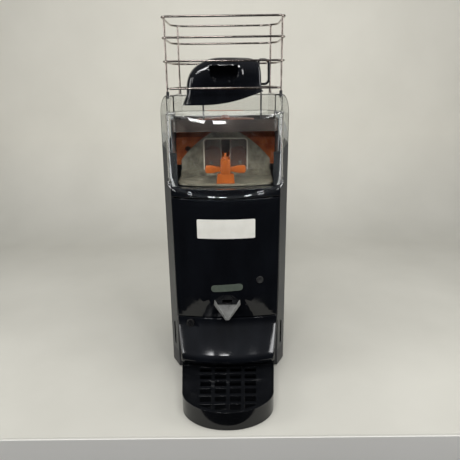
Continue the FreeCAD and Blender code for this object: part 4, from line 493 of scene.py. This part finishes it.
# Knob's block and drum hood are moulded, the spout is cast, and the window's rim is drawn to a round bead.
# Their edges are rounded like those of the larger forms.
rounded("knob_block", 0.5)
rounded("juice_spout", 0.25)
rounded("drum_hood", 0.8)
rounded("window_rim", 1.2)

# Clear cover: one bowed sheet of moulded polycarbonate, 3 mm thick, with a thicker round rim along its foot.
# Its brow curves back to a narrow top lip, and it hangs on two pins at its top corners.


def between(places, values, at):
    """A value read off a smooth line through a few known ones."""
    last = len(places) - 2
    index = max(0, min(last, sum(1 for place in places[1:-1] if at > place)))
    gaps = [(values[i + 1] - values[i]) / (places[i + 1] - places[i]) for i in range(last + 1)]
    slopes = [gaps[0]] + [(gaps[i] + gaps[i + 1]) / 2 if gaps[i] * gaps[i + 1] > 0 else 0.0
                          for i in range(last)] + [gaps[-1]]
    width = places[index + 1] - places[index]
    t = (at - places[index]) / width
    return (values[index] * (1 + 2 * t) * (1 - t) ** 2 + width * slopes[index] * t * (1 - t) ** 2
            + values[index + 1] * t * t * (3 - 2 * t) + width * slopes[index + 1] * t * t * (t - 1))


def sheet_form(name, rows, thickness_mm, finish, body, nodes=(), closed=False, inside=None):
    """Makes a smooth sheet from rows of points in millimetres, gives it its thickness, and rides it."""
    form = bmesh.new()
    grid = [[form.verts.new(Vector(point) / 1000) for point in row] for row in rows]
    across = len(grid[0])
    for lower, upper in zip(grid, grid[1:]):
        for i in range(across if closed else across - 1):
            form.faces.new((lower[i], lower[(i + 1) % across], upper[(i + 1) % across], upper[i]))
    bmesh.ops.remove_doubles(form, verts=form.verts, dist=1e-5)
    bmesh.ops.recalc_face_normals(form, faces=form.faces)
    if inside:
        heart = Vector(inside) / 1000
        outward = sum(face.normal.dot(face.calc_center_median() - heart) * face.calc_area()
                      for face in form.faces)
        if outward < 0:
            bmesh.ops.reverse_faces(form, faces=form.faces)
    mesh = bpy.data.meshes.new(name)
    form.to_mesh(mesh)
    form.free()
    mesh.materials.append(finish)
    mesh.shade_smooth()
    piece = bpy.data.objects.new(name, mesh)
    bpy.context.scene.collection.objects.link(piece)
    if thickness_mm:
        wall = piece.modifiers.new("wall", "SOLIDIFY")
        wall.thickness = thickness_mm / 1000
        wall.offset = -1.0
        graph = bpy.context.evaluated_depsgraph_get()
        piece.data = bpy.data.meshes.new_from_object(piece.evaluated_get(graph))
        piece.modifiers.clear()
        piece.data.name = name
        piece.data.set_sharp_from_angle(angle=math.radians(50))
    if nodes:
        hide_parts(*nodes)
    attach(piece, body)
    return piece


cover_zs = (512, 610, 690, 715, 728, 735)
cover_sides = (-4, -2, -1, 0, 2, 4.5)
cover_centres = (-54, -36, -23, -14, -5, 1)
cover_half, cover_top_z, shoulder_z, shoulder_radius = 146, 735, 719, 16
corner_radius, corner_loss, brow_z = 16, 10, 713
pivot_y, pivot_z, pivot_hole_radius, ear_radius, drill_length = 12, 727, 3.0, 8, 320
front_share, corner_share = 0.7, 0.84


def cover_point(z, share, rim):
    """A point of the cover's outside at one height, share running from the left rear edge to the right one."""
    over = max(0.0, z - shoulder_z)
    half = cover_half - (shoulder_radius - math.sqrt(max(0.0, shoulder_radius ** 2 - over ** 2))) + rim
    side = between(cover_zs, cover_sides, z) - rim
    centre = between(cover_zs, cover_centres, z) - rim
    corner = corner_radius - corner_loss * max(0.0, (z - brow_z) / (cover_top_z - brow_z))
    rise = side - centre
    radius = (half ** 2 + rise ** 2) / (2 * rise)
    middle = centre + radius
    corner_x = half - corner
    corner_y = middle - math.sqrt((radius - corner) ** 2 - corner_x ** 2)
    way = 1 if share > 0.5 else -1
    part = abs(2 * share - 1)
    rear = pivot_y + math.sqrt(max(0.0, ear_radius ** 2 - max(0.0, z - pivot_z) ** 2))
    if part > corner_share:
        return way * half, corner_y + (rear - corner_y) * (part - corner_share) / (1 - corner_share)
    lean = math.atan2(corner_x, middle - corner_y)
    if part > front_share:
        turn = lean + (math.pi / 2 - lean) * (part - front_share) / (corner_share - front_share)
        return way * (corner_x + corner * math.sin(turn)), corner_y - corner * math.cos(turn)
    turn = lean * part / front_share
    return way * radius * math.sin(turn), middle - radius * math.cos(turn)


foot_front_y, foot_front_z, foot_rise, foot_run, foot_corner = -51, 524, 21, 48, 14


def cover_foot(x, y):
    """Height of the slanting lower edge, with its two round corners."""
    z = foot_front_z + foot_rise * (y - foot_front_y) / foot_run
    over = max(0.0, abs(x) - (cover_half - foot_corner))
    return z + foot_corner - math.sqrt(max(0.0, foot_corner ** 2 - over ** 2))


across_steps, up_steps, closer_below = 96, 60, 1.15
rim_width, rim_height = 2.0, 4
top_drop, drop_start_share, drop_run_share = 2.5, 0.55, 0.15
rows = []
for step in range(up_steps + 1):
    row = []
    for share in [i / across_steps for i in range(across_steps + 1)]:
        low = foot_front_z + foot_rise
        for attempt in range(3):
            low = cover_foot(*cover_point(low, share, 0.0))
        toward_side = min(1.0, max(0.0, (abs(2 * share - 1) - drop_start_share) / drop_run_share))
        top = cover_top_z - top_drop * toward_side
        z = low + (top - low) * (step / up_steps) ** closer_below
        rim = rim_width * min(1.0, max(0.0, 1 - (z - low - rim_height) / rim_height))
        row.append((*cover_point(z, share, rim), z))
    rows.append(row)
cover_sheet = sheet_form("cover_sheet", rows, 3.0, clear_polycarbonate, "cover", ("clear_cover",),
                         inside=(0, 60, 630))
drilled(cover_sheet, [(0, pivot_y / 1000, pivot_z / 1000)], (1, 0, 0), pivot_hole_radius, drill_length)

# Loose hood: one deep-drawn cap of glossy black styrene, with a brim, a finger pocket and a loop handle.
# It lies over the feed opening, and its brow catches the lamps.
hood_corners = ((-97, 190, 16), (-97, 52, 22), (40, 52, 60), (94, 76, 8), (94, 190, 14))
roof_places = (-97, -92, -80, -55, -40, -20, 4, 94)
roof_heights = (826, 830, 838, 850, 856, 859.4, 859.8, 858.5)
brim_shares = ((0.05, 0.06, 0.0), (0.05, 0.06, 2.5), (0.02, 0.025, 4.0))
middle_x, middle_y, heart_z = -2, 122, 790
foot_level, rise_x, bend, slope = 745, 1, 330, math.radians(18.4)


def rounded_loop(corners, count):
    """Evenly spaced points along a closed outline whose corners are (x, y, radius)."""
    fine, arc_steps = [], 8
    for i, (x, y, radius) in enumerate(corners):
        here = Vector((x, y))
        before = (Vector(corners[i - 1][:2]) - here).normalized()
        after = (Vector(corners[(i + 1) % len(corners)][:2]) - here).normalized()
        half = before.angle(after) / 2
        centre = here + (before + after).normalized() * radius / math.sin(half)
        start = here + before * radius / math.tan(half) - centre
        sweep_angle = (math.pi - 2 * half) * (1 if before.cross(after) < 0 else -1)
        for step in range(arc_steps + 1):
            part = sweep_angle * step / arc_steps
            fine.append((centre.x + start.x * math.cos(part) - start.y * math.sin(part),
                         centre.y + start.x * math.sin(part) + start.y * math.cos(part)))
    lengths = [math.dist(fine[i], fine[(i + 1) % len(fine)]) for i in range(len(fine))]
    loop, index, passed = [], 0, 0.0
    for k in range(count):
        target = sum(lengths) * k / count
        while passed + lengths[index] < target:
            passed += lengths[index]
            index += 1
        part = (target - passed) / lengths[index]
        (ax, ay), (bx, by) = fine[index], fine[(index + 1) % len(fine)]
        loop.append((ax + (bx - ax) * part, ay + (by - ay) * part))
    return loop


def bar_loop(half_a, half_b, radius, count):
    """The outline of a flat bar with rounded corners, about its own middle."""
    return rounded_loop(((-half_a, -half_b, radius), (half_a, -half_b, radius),
                         (half_a, half_b, radius), (-half_a, half_b, radius)), count)


def hood_foot(x):
    """Height of the hood's lower edge: level on the left, rising to the right."""
    run = x - rise_x + bend * math.tan(slope / 2)
    if run <= 0:
        return foot_level
    if run < bend * math.sin(slope):
        return foot_level + bend - math.sqrt(bend ** 2 - run ** 2)
    return foot_level + (x - rise_x) * math.tan(slope)


def pocket_share(x, z):
    """How far a point of the front is drawn back into the pocket: a U with round lower corners."""
    pocket_x, pocket_half, pocket_low_z, pocket_high_z, pocket_round, edge_width = -1, 34, 806, 838, 14, 3
    out = abs(x - pocket_x)
    over = max(0.0, out - (pocket_half - pocket_round))
    floor = pocket_low_z + pocket_round - math.sqrt(max(0.0, pocket_round ** 2 - over ** 2))
    beyond = max(out - pocket_half, floor - z, z - pocket_high_z)
    return max(0.0, min(1.0, 0.5 - beyond / edge_width))


def flared_x(x, z):
    """Draws the left end of the brim out into a low round ear."""
    ear_start, ear_run, ear_flare, ear_height, ear_end_x = 80, 17, 9, 20, -105.5
    near = min(1.0, max(0.0, (-x - ear_start) / ear_run))
    return max(ear_end_x, x - ear_flare * near * math.sqrt(max(0.0, 1 - ((z - foot_level) / ear_height) ** 2)))


dome_steps, first_step, inward_power, upward_power, brim_height = 64, 2, 0.32, 0.42, 3.0
pocket_back_y = 92
loop = rounded_loop(hood_corners, 260)
rows = [[(x + (x - middle_x) * wide_x, y + (y - middle_y) * wide_y, hood_foot(x) + rise) for x, y in loop]
        for wide_x, wide_y, rise in brim_shares]
for step in range(first_step, dome_steps + 1):
    angle = math.pi / 2 * step / dome_steps
    inward, upward = math.cos(angle) ** inward_power, math.sin(angle) ** upward_power
    row = []
    for foot_x, foot_y in loop:
        x = middle_x + (foot_x - middle_x) * inward
        y = middle_y + (foot_y - middle_y) * inward
        low = hood_foot(foot_x) + brim_height
        z = low + (between(roof_places, roof_heights, x) - low) * upward
        row.append((x, y + max(0.0, pocket_back_y - y) * pocket_share(x, z), z))
    rows.append(row)
rows.append([(middle_x, middle_y, between(roof_places, roof_heights, middle_x))] * len(loop))
rows = [[(flared_x(x, z), y, z) for x, y, z in row] for row in rows]
sheet_form("hood_cap", rows, 2.6, gloss_black, "hood", ("loose_hood",), closed=True,
           inside=(middle_x, middle_y, heart_z))

handle_y = 121
handle_corners = ((88, 854, 6), (90, 794, 6), (116, 794, 12), (115, 854, 12))
handle_path = rounded_loop(handle_corners, 48)
bar = bar_loop(3, 17, 2, 24)
ring = []
for i, (x, z) in enumerate(handle_path):
    before, after = handle_path[i - 1], handle_path[(i + 1) % len(handle_path)]
    way = Vector((after[0] - before[0], after[1] - before[1])).normalized()
    out = Vector((way.y, -way.x))
    ring.append([(x + out.x * a, handle_y + b, z + out.y * a) for a, b in bar])
ring.append(ring[0])
sheet_form("hood_handle", ring, 0.0, gloss_black, "hood", closed=True)

# Edges of the smoked panels: polished when cut, so they show as two bright upright lines.
# Each is drawn as a narrow rounded strip along the slot in a pale colour, a painted highlight.
# The strips' pale colour is a painted highlight.
painted_edge_highlight = grained("acrylic_edge_painted_highlight", "A9A49C", "C9C4BB", 25, (0.15, 0.25), 2.0, 0.02)
strip_x, strip_y, strip_low_z, strip_high_z = 12.2, 135.2, 566.8, 655.4
end_shares = ((0.0, 0.0), (0.2, 0.3), (0.6, 0.8), (1.4, 1.0))
levels = [(strip_low_z + rise, part) for rise, part in end_shares]
levels += [(strip_high_z - rise, part) for rise, part in reversed(end_shares)]
bar = bar_loop(0.7, 2.7, 0.4, 16)
for name, x in (("left_panel_edge", -strip_x), ("right_panel_edge", strip_x)):
    strip = [[(x + a * part, strip_y + b * part, z) for a, b in bar] for z, part in levels]
    sheet_form(name, strip, 0.0, painted_edge_highlight, "root", closed=True)

# Leg sleeves: short tubes of dull black rubber, pushed on the four legs of the basket.
# They keep the wire from scratching the housing, and are a little wider than it.
sleeve_sides = 20
sleeve_profile = ((762.2, 0.0), (762.3, 2.6), (762.8, 3.4), (763.8, 3.8),
                  (777.5, 3.7), (778.8, 3.4), (779.3, 2.6), (779.4, 0.0))
turns = [2 * math.pi * i / sleeve_sides for i in range(sleeve_sides)]
for name, leg_x, leg_y in (("front_left", -140, 36), ("front_right", 140, 36),
                           ("rear_left", -128, 216), ("rear_right", 128, 216)):
    tube = [[(leg_x + radius * math.cos(turn), leg_y + radius * math.sin(turn), z) for turn in turns]
            for z, radius in sleeve_profile]
    sheet_form("leg_sleeve_" + name, tube, 0.0, foot_rubber, "fruit_basket", closed=True)

# Setting: a pale table, cut off just in front of the machine, that runs back and up into a pale wall.
# Both are plain matt board, and the curve behind hides their join.
table_front_y, table_drop, table_lip = -0.265, 0.8, 0.004
wall_y, wall_top, sweep_radius, board_half = 1.6, 2.6, 0.5, 2.6
path = [(table_front_y, -table_drop), (table_front_y, -table_lip), (table_front_y + table_lip, 0.0)]
path += [(wall_y - sweep_radius + sweep_radius * math.sin(math.radians(a)),
          sweep_radius - sweep_radius * math.cos(math.radians(a))) for a in range(0, 91, 6)]
path += [(wall_y, wall_top)]
sweep = bpy.data.meshes.new("sweep")
points = [(x, y, z) for y, z in path for x in (-board_half, board_half)]
sweep.from_pydata(points, [], [(2 * i, 2 * i + 1, 2 * i + 3, 2 * i + 2) for i in range(len(path) - 1)])
for face in sweep.polygons:
    face.use_smooth = face.index > 2
backdrop = bpy.data.objects.new("backdrop", sweep)
bpy.context.scene.collection.objects.link(backdrop)
board, tree, surface, place = new_finish("matt_white_board", Roughness=0.8)
height = add(tree, "ShaderNodeSeparateXYZ", {0: place}).outputs["Z"]
clouds = mottle(tree, place, 350)
table_tone, wall_tone, edge_tone = [shade(tree, clouds, *tones) for tones in (
    ("B2B0A7", "BAB8AF"), ("D2CFC4", "D8D5CA"), ("EFEDE6", "F4F2EC"))]
wall_share = spread(tree, height, 0.0, 1.0, 0.02, 0.5)
edge_share = spread(tree, height, 1.0, 0.0, -0.004, -0.002)
wall = add(tree, "ShaderNodeMix", {0: wall_share, 6: table_tone, 7: wall_tone}, data_type="RGBA")
front = add(tree, "ShaderNodeMix", {0: edge_share, 6: wall.outputs[2], 7: edge_tone}, data_type="RGBA")
link(tree, front.outputs[2], surface.inputs["Base Color"])
sweep.materials.append(board)

# Light: one wide soft box overhead, three small ceiling lamps in front, and a window and a strip on each side.
# The room is pale above and dark below and in front, which is what the black mouldings mirror.


def lamp(name, place, aim, size, power):
    """Hangs one rectangular lamp at a place and turns it to what it lights."""
    light = bpy.data.lights.new(name, "AREA")
    light.shape = "RECTANGLE"
    light.size, light.size_y = size
    light.energy = power
    holder = bpy.data.objects.new(name, light)
    holder.location = place
    holder.rotation_euler = (Vector(aim) - Vector(place)).to_track_quat("-Z", "Y").to_euler()
    bpy.context.scene.collection.objects.link(holder)
    return holder


lamp("overhead", (0.1, -0.3, 2.5), (0, 0.15, 0.4), (1.8, 1.2), 32).visible_glossy = False
for name, x, length in (("ceiling_left", -0.62, 0.5), ("ceiling_middle", -0.15, 0.45),
                        ("ceiling_right", 0.95, 0.4)):
    lamp(name, (x, -1.82, 2.22), (0, 0, 0.6), (0.28, length), 9)
lamp("window_left", (-1.7, -0.45, 0.9), (0, 0.1, 0.5), (0.7, 1.2), 16)
lamp("window_right", (1.6, -0.4, 0.9), (0, 0.1, 0.5), (0.7, 1.2), 14)
lamp("strip_left", (-1.65, -1.75, 1.5), (0, 0, 0.8), (0.2, 0.6), 4)
lamp("strip_right", (1.55, -1.75, 1.5), (0, 0, 0.8), (0.3, 0.6), 6)
world = bpy.data.worlds.new("room")
world.use_nodes = True
tree = world.node_tree
ways = add(tree, "ShaderNodeSeparateXYZ", {0: add(tree, "ShaderNodeTexCoord").outputs["Generated"]})
height = add(tree, "ShaderNodeMapRange", {0: ways.outputs["Z"], 1: 0.0, 2: 0.75, 3: 0.0, 4: 1.0},
             interpolation_type="SMOOTHSTEP")
air = add(tree, "ShaderNodeMix", {0: height.outputs[0], 6: linear("212226"), 7: linear("8E9094")},
          data_type="RGBA")
link(tree, air.outputs[2], tree.nodes["Background"].inputs["Color"])
tree.nodes["Background"].inputs["Strength"].default_value = 0.9
bpy.context.scene.world = world

# Camera: a phone at chest height, looking down a little at the front.
# It is held almost level, with its lens a little to the right of the machine's middle.
down_tilt, roll = 17.8, 0.7
camera = bpy.data.cameras.new("camera")
camera.lens = 36.47
camera.sensor_width = 36
viewer = bpy.data.objects.new("camera", camera)
viewer.location = (0.0145, -1.1658, 0.804)
viewer.rotation_euler = (math.radians(90 - down_tilt), math.radians(roll), 0)
bpy.context.scene.collection.objects.link(viewer)
bpy.context.scene.camera = viewer
bpy.context.scene.view_settings.view_transform = "Standard"
